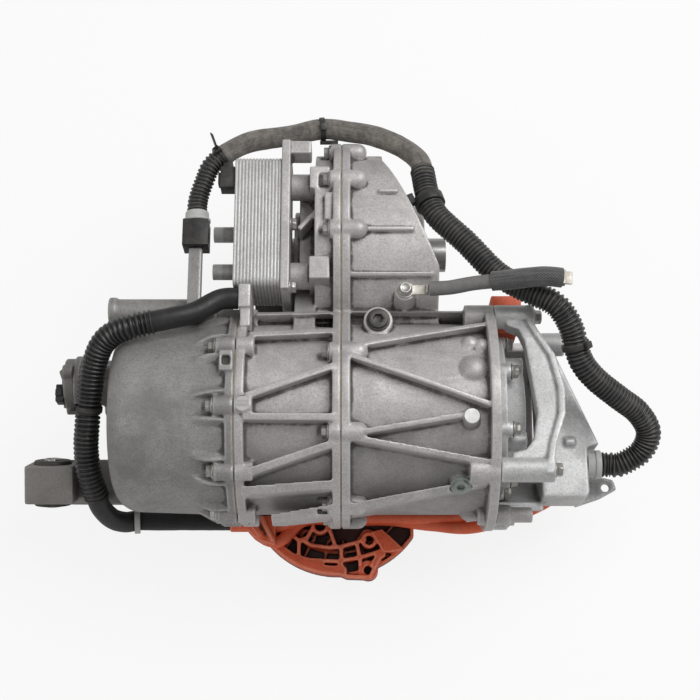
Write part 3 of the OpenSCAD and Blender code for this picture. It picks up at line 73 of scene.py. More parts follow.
camera = new_piece("camera", bpy.data.cameras.new("camera"))
camera.data.sensor_width = 36
camera.data.lens = 75
camera.location = looked_at + eye_distance * Vector((0, -math.cos(look_down), math.sin(look_down)))
camera.rotation_euler = (math.pi / 2 - look_down, 0, 0)
camera.data.clip_end = 30
scene.camera = camera
scene.view_settings.view_transform = "Standard"


def put(tree, kind, inputs=(), **settings):
    """Adds a node; each input is a value, another node's output, or a node for its first output."""
    node = tree.nodes.new(kind)
    for key, value in settings.items():
        setattr(node, key, value)
    for key, value in dict(inputs).items():
        if isinstance(value, bpy.types.Node):
            value = value.outputs[0]
        if isinstance(value, bpy.types.NodeSocket):
            tree.links.new(value, node.inputs[key])
        else:
            node.inputs[key].default_value = value
    return node


def cleared(owner):
    """The emptied node tree of a material or a world."""
    owner.use_nodes = True
    owner.node_tree.nodes.clear()
    return owner.node_tree


def seen_directly(tree):
    """1 for the rays that show a background to the eye."""
    return put(tree, "ShaderNodeLightPath").outputs["Is Camera Ray"]


white = (1, 1, 1, 1)
room = bpy.data.worlds.new("room")
scene.world = room
room_tree = cleared(room)
dim = put(room_tree, "ShaderNodeBackground", {"Color": (1, 0.99, 0.98, 1), "Strength": 0.40})
pale = put(room_tree, "ShaderNodeBackground", {"Color": white, "Strength": 1.0})
shown = put(room_tree, "ShaderNodeMixShader", {0: seen_directly(room_tree), 1: dim, 2: pale})
put(room_tree, "ShaderNodeOutputWorld", {"Surface": shown})

floor_half, floor_gap, floor_glow = 6, 0.0002, 0.85
floor_z = cad_box[0].z - floor_gap
floor_mesh = bpy.data.meshes.new("floor")
floor_corners = [(x * floor_half, y * floor_half, floor_z) for x, y in ((-1, -1), (1, -1), (1, 1), (-1, 1))]
floor_mesh.from_pydata(floor_corners, [], [(0, 1, 2, 3)])
floor_paint = bpy.data.materials.new("floor_paint")
floor_tree = cleared(floor_paint)
matte = put(floor_tree, "ShaderNodeBsdfDiffuse", {"Color": (0.86, 0.86, 0.86, 1)})
glow = put(floor_tree, "ShaderNodeEmission", {"Color": white, "Strength": 1.0})
share = put(floor_tree, "ShaderNodeMath", {0: seen_directly(floor_tree), 1: floor_glow}, operation="MULTIPLY")
both = put(floor_tree, "ShaderNodeMixShader", {0: share, 1: matte, 2: glow})
put(floor_tree, "ShaderNodeOutputMaterial", {"Surface": both})
new_piece("floor", floor_mesh, floor_paint)

for lamp_name, lamp_at, lamp_size, lamp_power in (
        ("ceiling_lamp", (0.85, 0.55, 1.9), 1.3, 30),
        ("side_lamp", (-1.6, -0.7, 1.3), 1.2, 5)):
    lamp = new_piece(lamp_name, bpy.data.lights.new(lamp_name, "AREA"))
    lamp.data.size = lamp_size
    lamp.data.energy = lamp_power
    lamp.location = lamp_at
    lamp.rotation_euler = (looked_at - lamp.location).to_track_quat("-Z", "Y").to_euler()

# Left case
# Half of the gear case, pressure die cast in aluminium. It is blasted, its joint faces are
# milled, and road dirt and painted shade darken the pockets between its ribs.
origin_x, origin_y, origin_z = 128, 220, -30


def unit(x, y, z):
    """A point in metres from millimetres off the motor axis at the split plane."""
    return Vector(((x - origin_x) / 1000, (y - origin_y) / 1000, (z - origin_z) / 1000))


def raw_copy(node):
    """The CAD node's solids as one welded bmesh."""
    bm = bmesh.new()
    bm.from_mesh(cad[node].data)
    bmesh.ops.remove_doubles(bm, verts=bm.verts, dist=1e-6)
    return bm


def mesh_of(name, bm):
    """Turns a bmesh into a mesh and frees it."""
    mesh = bpy.data.meshes.new(name)
    bm.to_mesh(mesh)
    bm.free()
    return mesh


def settled(piece):
    """Turns the piece with its modifiers into a plain mesh."""
    bpy.context.view_layer.update()
    graph = bpy.context.evaluated_depsgraph_get()
    mesh = bpy.data.meshes.new_from_object(piece.evaluated_get(graph))
    piece.modifiers.clear()
    old = piece.data
    piece.data = mesh
    if old.users == 0:
        bpy.data.meshes.remove(old)
    return piece


def coated(piece, material):
    """Gives the whole piece one material."""
    piece.data.materials.clear()
    piece.data.materials.append(material)
    return piece


def softened(piece, rounds, group=""):
    """Adds smoothing to a piece, or to a group of its points."""
    soften = piece.modifiers.new("soften", "SMOOTH")
    soften.factor = 0.5
    soften.iterations = rounds
    soften.vertex_group = group


def mark_hollows_and_edges(mesh):
    """Stores how far each point stands out of, or lies in, the rounded surface around it, in mm."""

    def read(items, name, width, kind):
        values = np.empty(len(items) * width, kind)
        items.foreach_get(name, values)
        return values.reshape(-1, width)

    points = read(mesh.vertices, "co", 3, np.float64)
    normals = read(mesh.vertex_normals, "vector", 3, np.float32)
    pairs = read(mesh.edges, "vertices", 2, np.int32)
    count, (a, b) = len(points), pairs.T
    friends = np.maximum(np.bincount(pairs.ravel(), minlength=count), 1)[:, None]

    def rounded(p, times_over):
        for _ in range(times_over):
            sums = np.stack([np.bincount(a, p[b, k], count) + np.bincount(b, p[a, k], count)
                for k in range(3)], 1)
            p = 0.4 * p + 0.6 * sums / friends
        return p

    near = rounded(points, 5)
    far = rounded(near, 45)
    for name, gap in (("edge", points - near), ("hollow", far - points)):
        height = (gap * normals).sum(1) * 1000
        mesh.attributes.new(name, "FLOAT", "POINT").data.foreach_set("value", height.astype(np.float32))


def cast(name, bm, voxel, rounds, most, material):
    """Melts the solids of bm into one casting with rounded edges and filled corners."""
    bmesh.ops.recalc_face_normals(bm, faces=bm.faces)
    piece = new_piece(name, mesh_of(name, bm))
    melt = piece.modifiers.new("melt", "REMESH")
    melt.mode = "VOXEL"
    melt.voxel_size = voxel
    melt.use_smooth_shade = True
    softened(piece, rounds)
    settled(piece)
    mark_hollows_and_edges(piece.data)
    faces = sum(len(p.vertices) - 2 for p in piece.data.polygons)
    if faces > most:
        thin = piece.modifiers.new("thin", "DECIMATE")
        thin.ratio = most / faces
        settled(piece)
    return coated(piece, material)


def dress(piece, slot, *nodes):
    """The piece stands for these CAD nodes, which are hidden, and rides on the housing; the slot is not used.
    """
    if nodes:
        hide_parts(*nodes)
    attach(piece, "housing")


def cast_node(node, voxel, rounds, most, material, slot):
    """A CAD node as a casting of its own."""
    dress(cast(node + "_casting", raw_copy(node), voxel, rounds, most, material), slot, node)


def new_material(name, metal=0.0):
    """An empty node material with its Principled shader and output."""
    material = bpy.data.materials.new(name)
    tree = cleared(material)
    shader = put(tree, "ShaderNodeBsdfPrincipled", {"Metallic": metal})
    put(tree, "ShaderNodeOutputMaterial", {"Surface": shader})
    return material, tree, shader


def wired(shader, colour, rough, height, strength, distance):
    """Joins colour, roughness and a fine relief to a shader."""
    tree = shader.id_data
    relief = put(tree, "ShaderNodeBump", {"Height": height, "Strength": strength, "Distance": distance})
    for name, value in (("Base Color", colour), ("Roughness", rough), ("Normal", relief.outputs[0])):
        tree.links.new(value, shader.inputs[name])


def mixed(amount, *tones):
    """Colour between two tones, each a node's output or three values, in the tree the amount is in."""
    first, second = [t if isinstance(t, bpy.types.NodeSocket) else (*t, 1) for t in tones]
    return put(amount.id_data, "ShaderNodeMix", {0: amount, 6: first, 7: second}, data_type="RGBA").outputs[2]


def laid_over(amount, tone):
    """Lays a tone over what colours a material so far."""
    socket = amount.id_data.nodes["Principled BSDF"].inputs["Base Color"]
    amount.id_data.links.new(mixed(amount, socket.links[0].from_socket, tone), socket)


def ranged(value, low, high, to_low=0.0, to_high=1.0, soft=True):
    """A value taken from one range to another, held at the ends."""
    return put(value.id_data, "ShaderNodeMapRange", {0: value, 1: low, 2: high, 3: to_low, 4: to_high},
               interpolation_type="SMOOTHSTEP" if soft else "LINEAR").outputs[0]


def reckoned(how, first, *others):
    """Values taken together in a row by one kind of sum."""
    for other in others:
        first = put(first.id_data, "ShaderNodeMath", {0: first, 1: other}, operation=how).outputs[0]
    return first


def added(*values):
    """Values added up."""
    return reckoned("ADD", *values)


def times(*values):
    """Values multiplied."""
    return reckoned("MULTIPLY", *values)


def noise(where, scale, detail=4.0, rough=0.55, bend=0.0):
    """Noise at a scale in bumps per metre."""
    return put(where.id_data, "ShaderNodeTexNoise", {
        "Vector": where, "Scale": scale, "Detail": detail, "Roughness": rough, "Distortion": bend}).outputs[0]


def spot(tree, name="Object"):
    """Where a point lies on its piece, or with Normal which way it faces."""
    return put(tree, "ShaderNodeTexCoord").outputs[name]


def along_axis(vector, axis):
    """One part of a vector."""
    return put(vector.id_data, "ShaderNodeSeparateXYZ", {0: vector}).outputs[axis]


def attribute(tree, name):
    """A value stored on the mesh."""
    return put(tree, "ShaderNodeAttribute", attribute_name=name).outputs["Fac"]


def new_group(name, ins, outs):
    """An empty shader group; an input without a start value is a vector, all others are values."""
    group = bpy.data.node_groups.new(name, "ShaderNodeTree")
    for label, start in ins.items():
        kind = "NodeSocketVector" if start is None else "NodeSocketFloat"
        socket = group.interface.new_socket(label, in_out="INPUT", socket_type=kind)
        if start is not None:
            socket.default_value = start
    for label in outs:
        group.interface.new_socket(label, in_out="OUTPUT", socket_type="NodeSocketFloat")
    return group, put(group, "NodeGroupInput").outputs


def placed(tree, group, **inputs):
    """What a shader group gives when it is set into a material."""
    return put(tree, "ShaderNodeGroup", inputs, node_tree=group).outputs


# The skin of a casting: blasted grain, coarse mottle and small dark pores
skin_tree, skin_in = new_group("cast_skin", {"Where": None, "Grain": 900.0},
    ["Height", "Mottle", "Pores", "Sand"])
skin_at = skin_in["Where"]
fine = noise(skin_at, skin_in["Grain"], 3.0, 0.6)
coarse = noise(skin_at, 240.0, 5.0, 0.65)
broad = noise(skin_at, 22.0, 6.0, 0.62, 0.6)
blotch = added(times(broad, 0.65), times(coarse, 0.35))
put(skin_tree, "NodeGroupOutput", {
    "Height": added(fine, coarse),
    "Mottle": ranged(blotch, 0.36, 0.64),
    "Pores": ranged(noise(skin_at, 520.0, 2.0, 0.5), 0.60, 0.74),
    "Sand": ranged(noise(skin_at, 560.0, 4.0, 0.75), 0.45, 0.68)})

# Road dirt and painted shade in the hollows and bright rubbed edges, broken up by noise
hollow_edge_tree, hollow_edge_in = new_group("dirt_shade_and_wear", {"Where": None, "Hollow": 0.0, "Edge": 0.0, "Amount": 1.0},
    ["DirtAndShade", "Rub"])
patch = noise(hollow_edge_in["Where"], 46.0, 6.0, 0.68, 0.8)
speck = noise(hollow_edge_in["Where"], 420.0, 3.0, 0.6)
deep = ranged(hollow_edge_in["Hollow"], 0.05, 1.3)
caked_and_shaded = added(patch, times(deep, 0.42), times(speck, 0.25))
cover = ranged(caked_and_shaded, 0.70, 1.12)
rub = ranged(hollow_edge_in["Edge"], 0.05, 0.30)
rub_left = ranged(added(patch, speck), 0.75, 1.15, 0.35, 1.0)
put(hollow_edge_tree, "NodeGroupOutput", {
    "DirtAndShade": times(cover, added(times(deep, 0.75), 0.25), hollow_edge_in["Amount"]),
    "Rub": times(rub, rub_left)})


def cast_metal(name, light, dark, bright, dirt_and_shade_tone, dirt_and_shade_amount, grain=900.0, metal=0.35, rough=0.52, bump=0.25):
    """Blasted cast metal with dirt and painted shade in its hollows."""
    material, tree, shader = new_material(name, metal)
    where = spot(tree)
    skin = placed(tree, skin_tree, Where=where, Grain=grain)
    hollow_edge = placed(tree, hollow_edge_tree, Where=where, Amount=dirt_and_shade_amount, Hollow=attribute(tree, "hollow"),
        Edge=attribute(tree, "edge"))
    stain = ranged(noise(where, 10.0, 6.0, 0.66, 0.9), 0.46, 0.66)
    colour = mixed(skin["Mottle"], dark, light)
    for mark, strength, shade in ((skin["Pores"], 0.35, 0.45), (skin["Sand"], 0.6, 0.5), (stain, 0.45, 0.6)):
        colour = mixed(times(mark, strength), colour, [c * shade for c in dark])
    # Dirt and painted shade darken the hollows
    colour = mixed(hollow_edge["DirtAndShade"], colour, dirt_and_shade_tone)
    colour = mixed(times(hollow_edge["Rub"], 0.75), colour, bright)
    rough_value = added(ranged(skin["Mottle"], 0, 1, rough + 0.06, rough - 0.05, False),
        times(hollow_edge["DirtAndShade"], 0.25), times(hollow_edge["Rub"], -0.12))
    wired(shader, colour, rough_value, skin["Height"], bump, 0.0006)
    return material


case_metal = cast_metal("case_metal", (0.62, 0.60, 0.592), (0.475, 0.46, 0.452), (0.62, 0.61, 0.605),
    (0.085, 0.077, 0.072), 0.92)
# Painted shade darkens the floors of the barrel's pockets, most of it on the lower side, away from the key
# lamp
motor_axis = unit(0, 0, 0)
pocket_floor_r, pocket_wall_r = 0.1145, 0.1225
pocket_tree = case_metal.node_tree
pocket_at = spot(pocket_tree)
pocket_y, pocket_z = along_axis(pocket_at, "Y"), along_axis(pocket_at, "Z")
pocket_off = put(pocket_tree, "ShaderNodeCombineXYZ", {1: added(pocket_y, -motor_axis.y),
    2: added(pocket_z, -motor_axis.z)})
pocket_r = put(pocket_tree, "ShaderNodeVectorMath", {0: pocket_off}, operation="LENGTH").outputs["Value"]
pocket_floor = ranged(pocket_r, pocket_floor_r, pocket_wall_r, 1.0, 0.0)
pocket_shade_ragging = times(noise(pocket_at, 26.0, 7.0, 0.7, 0.8), -0.09)
pocket_shade_low = ranged(added(pocket_y, pocket_shade_ragging), -0.350, -0.240, 0.48, 0.0)
laid_over(times(pocket_floor, pocket_shade_low), (0.165, 0.157, 0.153))
cast_node("left_case", 0.0012, 11, 195000, case_metal, "cast_aluminium")

# Right case
# The other half of the gear case with the axle lobe and the electronics barrel, cast in the
# same aluminium with thinner, taller ribs.
cast_node("right_case", 0.0012, 11, 198000, case_metal, "cast_aluminium")

# Motor housing
# A smooth cast barrel with a rounded end, a mount tube along its rear edge and a bush eye on
# its left end. It is a little greyer and darker than the gear case, with painted shade towards its left end.
motor_metal = cast_metal("motor_metal", (0.37, 0.363, 0.353), (0.28, 0.275, 0.268), (0.48, 0.475, 0.465),
    (0.085, 0.078, 0.068), 0.85, grain=700.0, rough=0.55)


def painted_shade_along(material, axis, low, high, tone, amount):
    """Lays painted shade on a material that fades out along one axis of the unit, from low to high in metres.
    """
    where = spot(material.node_tree)
    torn = times(added(noise(where, 60.0, 5.0, 0.6), -0.5), (high - low) * 0.7)
    ragged = added(along_axis(where, axis), torn)
    laid_over(ranged(ragged, low, high, amount, 0.0), tone)


def islands(node):
    """The corners of each separate solid of a CAD node, as (low, high) boxes."""
    bm = raw_copy(node)
    unseen = set(bm.verts)
    boxes = []
    while unseen:
        island, front = [], [unseen.pop()]
        while front:
            vert = front.pop()
            island.append(vert.co.copy())
            for edge in vert.link_edges:
                other = edge.other_vert(vert)
                if other in unseen:
                    unseen.remove(other)
                    front.append(other)
        boxes.append([Vector([end(p[k] for p in island) for k in range(3)]) for end in (min, max)])
    bm.free()
    return sorted(boxes, key=lambda box: [round(c, 4) for c in box[0]])


def eased_step(value, low, high):
    """0 below low, 1 above high, smooth between."""
    share = min(max((value - low) / (high - low), 0), 1)
    return share * share * (3 - 2 * share)


# Painted shade darkens the motor towards its left end, where the lamps fall off
painted_shade_along(motor_metal, "X", -0.47, -0.36, (0.150, 0.136, 0.118), 0.6)
motor_bm = raw_copy("motor_housing")
# A raised band runs round the barrel before the joint, with a scoop left open for each bolt head
barrel_r, band_length, band_rise, ramp_rise = 0.1118, 0.050, 0.0050, 0.0080
bolt_circle_r, bolt_seat, band_stations, sunk, buried = 0.122, 0.018, 10, 0.002, 0.006
bolt_turns = []
for low, high in islands("motor_bolts"):
    bolt_turns.append(math.atan2((low.z + high.z) / 2 - motor_axis.z, (low.y + high.y) / 2 - motor_axis.y))
    joint_x = low.x + bolt_seat
band_verts = []
for k in range(360):
    turn = math.radians(k)
    nearest = min(abs((turn - bolt_turn + math.pi) % math.tau - math.pi) for bolt_turn in bolt_turns)
    off = nearest * bolt_circle_r
    row = []
    for station in range(band_stations):
        share = station / (band_stations - 1)
        scoop = eased_step(off, 0.0075 + 0.0035 * share, 0.0100 + 0.0045 * share)
        ramp = ramp_rise * (1 - eased_step(off, 0.015, 0.024)) * eased_step(share, 0.15, 0.75)
        radius = barrel_r - sunk + scoop * (eased_step(share, 0.0, 0.9) * (band_rise + sunk) + ramp)
        row.append((joint_x - band_length * (1 - share), radius))
    row = [(row[0][0], barrel_r - buried), *row, (row[-1][0], barrel_r - buried)]
    out = Vector((0, math.cos(turn), math.sin(turn)))
    band_verts.append([motor_bm.verts.new((x, motor_axis.y + r * out.y, motor_axis.z + r * out.z))
        for x, r in row])
for k, row in enumerate(band_verts):
    after = band_verts[(k + 1) % len(band_verts)]
    for j in range(len(row)):
        motor_bm.faces.new((row[j - 1], row[j], after[j], after[j - 1]))
motor_housing = cast("motor_housing_casting", motor_bm, 0.0014, 9, 190000, motor_metal)
# The bush eye has rounder edges than the rest of the casting
eye_x, eye_fade = -0.425, 0.015
eye_end = motor_housing.vertex_groups.new(name="eye")
for vert in motor_housing.data.vertices:
    if vert.co.x < eye_x:
        eye_end.add([vert.index], min(1, (eye_x - vert.co.x) / eye_fade), "REPLACE")
softened(motor_housing, 14, "eye")
settled(motor_housing)
motor_housing.vertex_groups.clear()
dress(motor_housing, "motor_aluminium", "motor_housing")

# End cover, inverter housing, lid and right mount bracket
# Newer, brighter aluminium castings bolted to the right-hand barrel. The bracket reaches over
# the others and carries the right mount.
bright_metal = cast_metal("bright_metal", (0.60, 0.60, 0.60), (0.48, 0.48, 0.48), (0.66, 0.66, 0.66),
    (0.12, 0.115, 0.11), 0.6, grain=1100.0, metal=0.3, rough=0.48)
for bright_node, bright_voxel, bright_most in (("end_cover", 0.0013, 120000),
        ("inverter_housing", 0.0014, 120000), ("inverter_lid", 0.0014, 60000),
        ("mount_bracket", 0.0012, 120000)):
    cast_node(bright_node, bright_voxel, 9, bright_most, bright_metal, "bright_aluminium")

# Milled pads
# Round bosses on the barrels are faced off on the milling machine, so their tops are bare and
# bright.


def add_bar(bm, a, b, r0, r1=None, sides=24):
    """A closed round bar from a to b, straight or tapered."""
    axis = b - a
    turn = axis.to_track_quat("Z", "Y").to_matrix().to_4x4()
    bmesh.ops.create_cone(bm, cap_ends=True, segments=sides, radius1=r0, radius2=r0 if r1 is None else r1,
        depth=axis.length, matrix=Matrix.Translation((a + b) / 2) @ turn)


milled_metal, milled_tree, milled_shader = new_material("milled_metal", 0.5)
milled_mottle = placed(milled_tree, skin_tree, Where=spot(milled_tree), Grain=1600.0)["Mottle"]
milled_colour = mixed(milled_mottle, (0.48, 0.48, 0.475), (0.60, 0.60, 0.595))
milled_tree.links.new(milled_colour, milled_shader.inputs["Base Color"])
milled_tree.links.new(ranged(milled_mottle, 0, 1, 0.44, 0.34), milled_shader.inputs["Roughness"])
pad_bm = bmesh.new()
pad_low, pad_top = 127.6, 128.5
for pad_x, pad_y in ((-108, -17), (143, -31)):
    add_bar(pad_bm, unit(pad_x, pad_y, pad_low), unit(pad_x, pad_y, pad_top), 0.0086, 0.0083, 40)
dress(new_piece("milled_pads", mesh_of("milled_pads", pad_bm), milled_metal), "cast_aluminium")

# Sealing beads
# Beads of tan liquid sealant, squeezed out along the joints when the castings were bolted up
# and set there.


def facing_up(tree, low, high):
    """How far a face looks up."""
    return ranged(along_axis(spot(tree, "Normal"), "Z"), low, high)


def surface(name, light, dark, rough, metal=0.0, grain=900.0, bump=0.15, dust=0.0,
        dust_tone=(0.30, 0.27, 0.23)):
    """Moulded, turned or painted stuff with its own grain, and dust lying on what faces up."""
    material, tree, shader = new_material(name, metal)
    where = spot(tree)
    skin = placed(tree, skin_tree, Where=where, Grain=grain)
    colour = mixed(skin["Mottle"], dark, light)
    rough_value = ranged(skin["Mottle"], 0, 1, rough + 0.07, rough - 0.05, False)
    if dust:
        lying = ranged(noise(where, 60.0, 6.0, 0.7, 0.5), 0.38, 0.72, 0.1, 1.0)
        dusty = times(facing_up(tree, 0.1, 0.95), lying, dust)
        colour = mixed(dusty, colour, dust_tone)
        rough_value = added(rough_value, times(dusty, 0.3))
    wired(shader, colour, rough_value, skin["Height"], bump, 0.0004)
    return material


def paint(material, *nodes):
    """CAD nodes that stay as they are get their material."""
    for node in nodes:
        for place in cad[node].material_slots:
            place.link = "OBJECT"
            place.material = material


paint(surface("sealant", (0.50, 0.40, 0.29), (0.36, 0.28, 0.19), 0.55, bump=0.3), "case_seals")

# Flange bolts
# Zinc-plated steel bolts with a rolled flange and a chamfered, dished hexagon head. The heads
# are turned as the wrench left them.


def new_tree(name, named):
    """A geometry tree with a mesh going in, named inputs and a material."""
    tree = bpy.data.node_groups.new(name, "GeometryNodeTree")
    for label, kind in {"Geometry": "Geometry", **named, "Material": "Material"}.items():
        tree.interface.new_socket(label, in_out="INPUT", socket_type="NodeSocket" + kind)
    tree.interface.new_socket("Geometry", in_out="OUTPUT", socket_type="NodeSocketGeometry")
    return tree, put(tree, "NodeGroupInput").outputs


def end_tree(shape, given):
    """Closes a geometry tree: real mesh, smooth faces, the material that is given."""
    tree = shape.id_data
    for kind in ("RealizeInstances", "SetShadeSmooth"):
        shape = put(tree, "GeometryNode" + kind, {"Geometry": shape})
    coat = put(tree, "GeometryNodeSetMaterial", {"Geometry": shape, "Material": given["Material"]})
    put(tree, "NodeGroupOutput", {"Geometry": coat})


def grown(name, mesh, tree, values):
    """A piece made by a geometry tree from a mesh of points or lines."""
    piece = new_piece(name, mesh)
    growth = piece.modifiers.new("growth", "NODES")
    growth.node_group = tree
    for item in tree.interface.items_tree:
        if item.item_type == "SOCKET" and item.in_out == "INPUT" and item.name in values:
            growth[item.identifier] = values[item.name]
    return settled(piece)


bolt_tree, bolt_in = new_tree("set_of_bolts", {"Bolt": "Object", "Aim": "Vector", "Seed": "Int"})
aim = put(bolt_tree, "FunctionNodeEulerToRotation", {0: bolt_in["Aim"]})
one_bolt = put(bolt_tree, "GeometryNodeObjectInfo", {"Object": bolt_in["Bolt"]})
seated = put(bolt_tree, "GeometryNodeInstanceOnPoints", {
    "Points": bolt_in["Geometry"], "Instance": one_bolt.outputs["Geometry"], "Rotation": aim})
wrench = put(bolt_tree, "FunctionNodeRandomValue", {0: (0, 0, 0), 1: (0, 0, math.tau),
    "Seed": bolt_in["Seed"]}, data_type="FLOAT_VECTOR")
wrench_turn = put(bolt_tree, "FunctionNodeEulerToRotation", {0: wrench})
turned_bolts = put(bolt_tree, "GeometryNodeRotateInstances", {"Instances": seated, "Rotation": wrench_turn})
end_tree(turned_bolts, bolt_in)


def loft(bm, rows):
    """A closed skin over rows of points."""
    count = len(rows[0])
    for low, high in zip(rows, rows[1:]):
        for k in range(count):
            bm.faces.new((low[k], low[(k + 1) % count], high[(k + 1) % count], high[k]))
    bm.faces.new(rows[0][::-1])
    bm.faces.new(rows[-1])


def lathe(bm, rings, sides=36):
    """A turned shape from (radius, height) rings in mm; a third value cuts a ring to a hexagon."""
    sixth = math.pi / 3
    rows = []
    for radius, height, *hexagon in rings:
        row = []
        for k in range(sides):
            angle = k * math.tau / sides
            flats = [h * math.cos(sixth / 2) / math.cos((angle + sixth / 2) % sixth - sixth / 2)
                for h in hexagon]
            reach = min([radius, *flats]) / 1000
            row.append(bm.verts.new((reach * math.cos(angle), reach * math.sin(angle), height / 1000)))
        rows.append(row)
    loft(bm, rows)


bolt_zinc = surface("bolt_zinc", (0.52, 0.51, 0.49), (0.34, 0.33, 0.31), 0.40, metal=0.8, grain=1500.0,
    bump=0.12, dust=0.25)


def bolt_set(node, aim_axis, shank, seed, flange_r=9.5, head_r=7.5, head_h=8, shank_r=4):
    """All bolts of a CAD node, sizes in mm: one modelled bolt set where each of its solids has its head."""
    bm = bmesh.new()
    lathe(bm, [(shank_r, -shank), (shank_r, 0), (flange_r * 0.98, 0), (flange_r, 0.5), (flange_r * 0.97, 1.3),
               (head_r * 1.06, 2.3), (head_r * 1.05, 2.4, head_r), (head_r * 1.05, head_h - 1.4, head_r),
               (head_r * 0.95, head_h - 0.5, head_r), (head_r * 0.80, head_h), (head_r * 0.62, head_h - 0.1),
               (head_r * 0.52, head_h - 0.9), (head_r * 0.2, head_h - 1.0)])
    model = new_piece(node + "_bolt", mesh_of(node + "_bolt", bm))
    axis = Vector(aim_axis)
    places = []
    for low, high in islands(node):
        middle = (low + high) / 2
        top = max(low.dot(axis), high.dot(axis))
        places.append(middle + axis * (top - head_h / 1000 - middle.dot(axis)))
    spots = bpy.data.meshes.new(node + "_places")
    spots.from_pydata(places, [], [])
    turn = axis.to_track_quat("Z", "Y").to_euler()
    piece = grown(node + "_set", spots, bolt_tree, {"Bolt": model, "Aim": tuple(turn), "Seed": seed,
        "Material": bolt_zinc})
    bpy.data.objects.remove(model)
    dress(piece, "bolt_steel", node)


bolt_set("split_bolts", (-1, 0, 0), 36, 1)
bolt_set("motor_bolts", (-1, 0, 0), 38, 2)
bolt_set("cover_bolts", (1, 0, 0), 24, 3)
bolt_set("bracket_bolts", (1, 0, 0), 80, 4, head_r=8, head_h=9, shank_r=6)
bolt_set("cooler_bolts", (1, 0, 0), 9, 5)
bolt_set("guard_bolts", (0, 0, -1), 20, 6, flange_r=8.5)

# Fill and drain plugs
# Steel screw plugs with an inner hexagon: the filler is black phosphated, the drain is
# passivated zinc.


def eased(name, bm, width, material, turns=2):
    """A copy of solids with its sharp edges rounded off."""
    bmesh.ops.dissolve_limit(bm, angle_limit=math.radians(1.5), verts=bm.verts, edges=bm.edges)
    bmesh.ops.recalc_face_normals(bm, faces=bm.faces)
    piece = new_piece(name, mesh_of(name, bm))
    round_off = piece.modifiers.new("round_off", "BEVEL")
    round_off.width = width
    round_off.segments = turns
    round_off.limit_method = "ANGLE"
    round_off.angle_limit = math.radians(32)
    round_off.use_clamp_overlap = True
    settled(piece)
    piece.data.shade_smooth()
    piece.data.set_sharp_from_angle(angle=math.radians(38))
    return coated(piece, material)


def eased_node(node, made, width, material, slot, turns=2):
    """A CAD node with rounded edges, named after how it is made."""
    piece = eased(node + "_" + made, raw_copy(node), width, material, turns)
    dress(piece, slot, node)
    return piece


plug_black = surface("plug_black", (0.055, 0.055, 0.055), (0.030, 0.030, 0.030), 0.42, metal=0.5, dust=0.35)
plug_zinc = surface("plug_zinc", (0.40, 0.45, 0.42), (0.28, 0.32, 0.30), 0.36, metal=0.6, dust=0.2)
eased_node("fill_plug", "turned", 0.0005, plug_black, "plug_black")
eased_node("drain_plug", "turned", 0.0005, plug_zinc, "plug_zinc")

# Left bush
# A rubber bush pressed into the flat-sided eye of the motor housing. The rubber is bonded to a
# turned steel sleeve that takes the mounting bolt.
rubber = surface("bush_rubber_black", (0.040, 0.039, 0.037), (0.022, 0.022, 0.021), 0.66, grain=700.0,
    bump=0.3, dust=0.3)
sleeve_steel = surface("sleeve_steel", (0.46, 0.45, 0.43), (0.32, 0.31, 0.29), 0.38, metal=0.9)
eased_node("bush_rubber", "moulded", 0.0018, rubber, "rubber", turns=3)
eased_node("bush_sleeve", "turned", 0.0007, sleeve_steel, "steel")

# Oil cooler
# A brazed stack of pressed aluminium plates on a cast base plate; hose spigots stand on its
# outer end.
cooler_x0, cooler_x1, cooler_y0, cooler_y1, cooler_z0, cooler_z1 = -126, -71, 136, 298, 10, 92
cooler_count, cooler_corner = 14, 9
cooler_metal = cast_metal("cooler_metal", (0.56, 0.555, 0.55), (0.44, 0.435, 0.43), (0.66, 0.66, 0.655),
    (0.27, 0.255, 0.24), 0.6, grain=1300.0, metal=0.3, rough=0.5, bump=0.35)


def rounded_plate(bm, y0, y1, z0, z1, corner, stations):
    """A flat plate with round corners in the YZ plane; stations are (x, inset) pairs; all in mm."""
    rows = []
    for x, inset in stations:
        row = []
        for cy, cz, start in ((y1 - corner, z1 - corner, 0), (y0 + corner, z1 - corner, 90),
                (y0 + corner, z0 + corner, 180), (y1 - corner, z0 + corner, 270)):
            for k in range(5):
                angle = math.radians(start + k * 22.5)
                reach = corner - inset
                row.append(bm.verts.new((x / 1000, (cy + reach * math.cos(angle)) / 1000,
                    (cz + reach * math.sin(angle)) / 1000)))
        rows.append(row)
    loft(bm, rows)


cooler_pitch = (cooler_x1 - cooler_x0) / cooler_count
plate_bm = bmesh.new()
plate_profile = [(0, 1.5), (0.3, 0.7), (0.9, 0.1), (1.6, 0.0), (2.4, 0.1), (3.1, 0.5), (3.5, 1.3),
    (cooler_pitch + 0.1, 1.5)]
rounded_plate(plate_bm, cooler_y0 - origin_y, cooler_y1 - origin_y, cooler_z0 - origin_z,
    cooler_z1 - origin_z, cooler_corner, plate_profile)
bmesh.ops.recalc_face_normals(plate_bm, faces=plate_bm.faces)
pressing = new_piece("cooler_pressing", mesh_of("cooler_pressing", plate_bm))
stack_tree, stack_in = new_tree("plate_stack", {"Plate": "Object", "Count": "Int", "Pitch": "Vector",
    "Start": "Vector"})
stack_line = put(stack_tree, "GeometryNodeMeshLine", {
    "Count": stack_in["Count"], "Start Location": stack_in["Start"], "Offset": stack_in["Pitch"]})
one_plate = put(stack_tree, "GeometryNodeObjectInfo", {"Object": stack_in["Plate"]})
stacked = put(stack_tree, "GeometryNodeInstanceOnPoints", {"Points": stack_line,
    "Instance": one_plate.outputs["Geometry"]})
end_tree(stacked, stack_in)
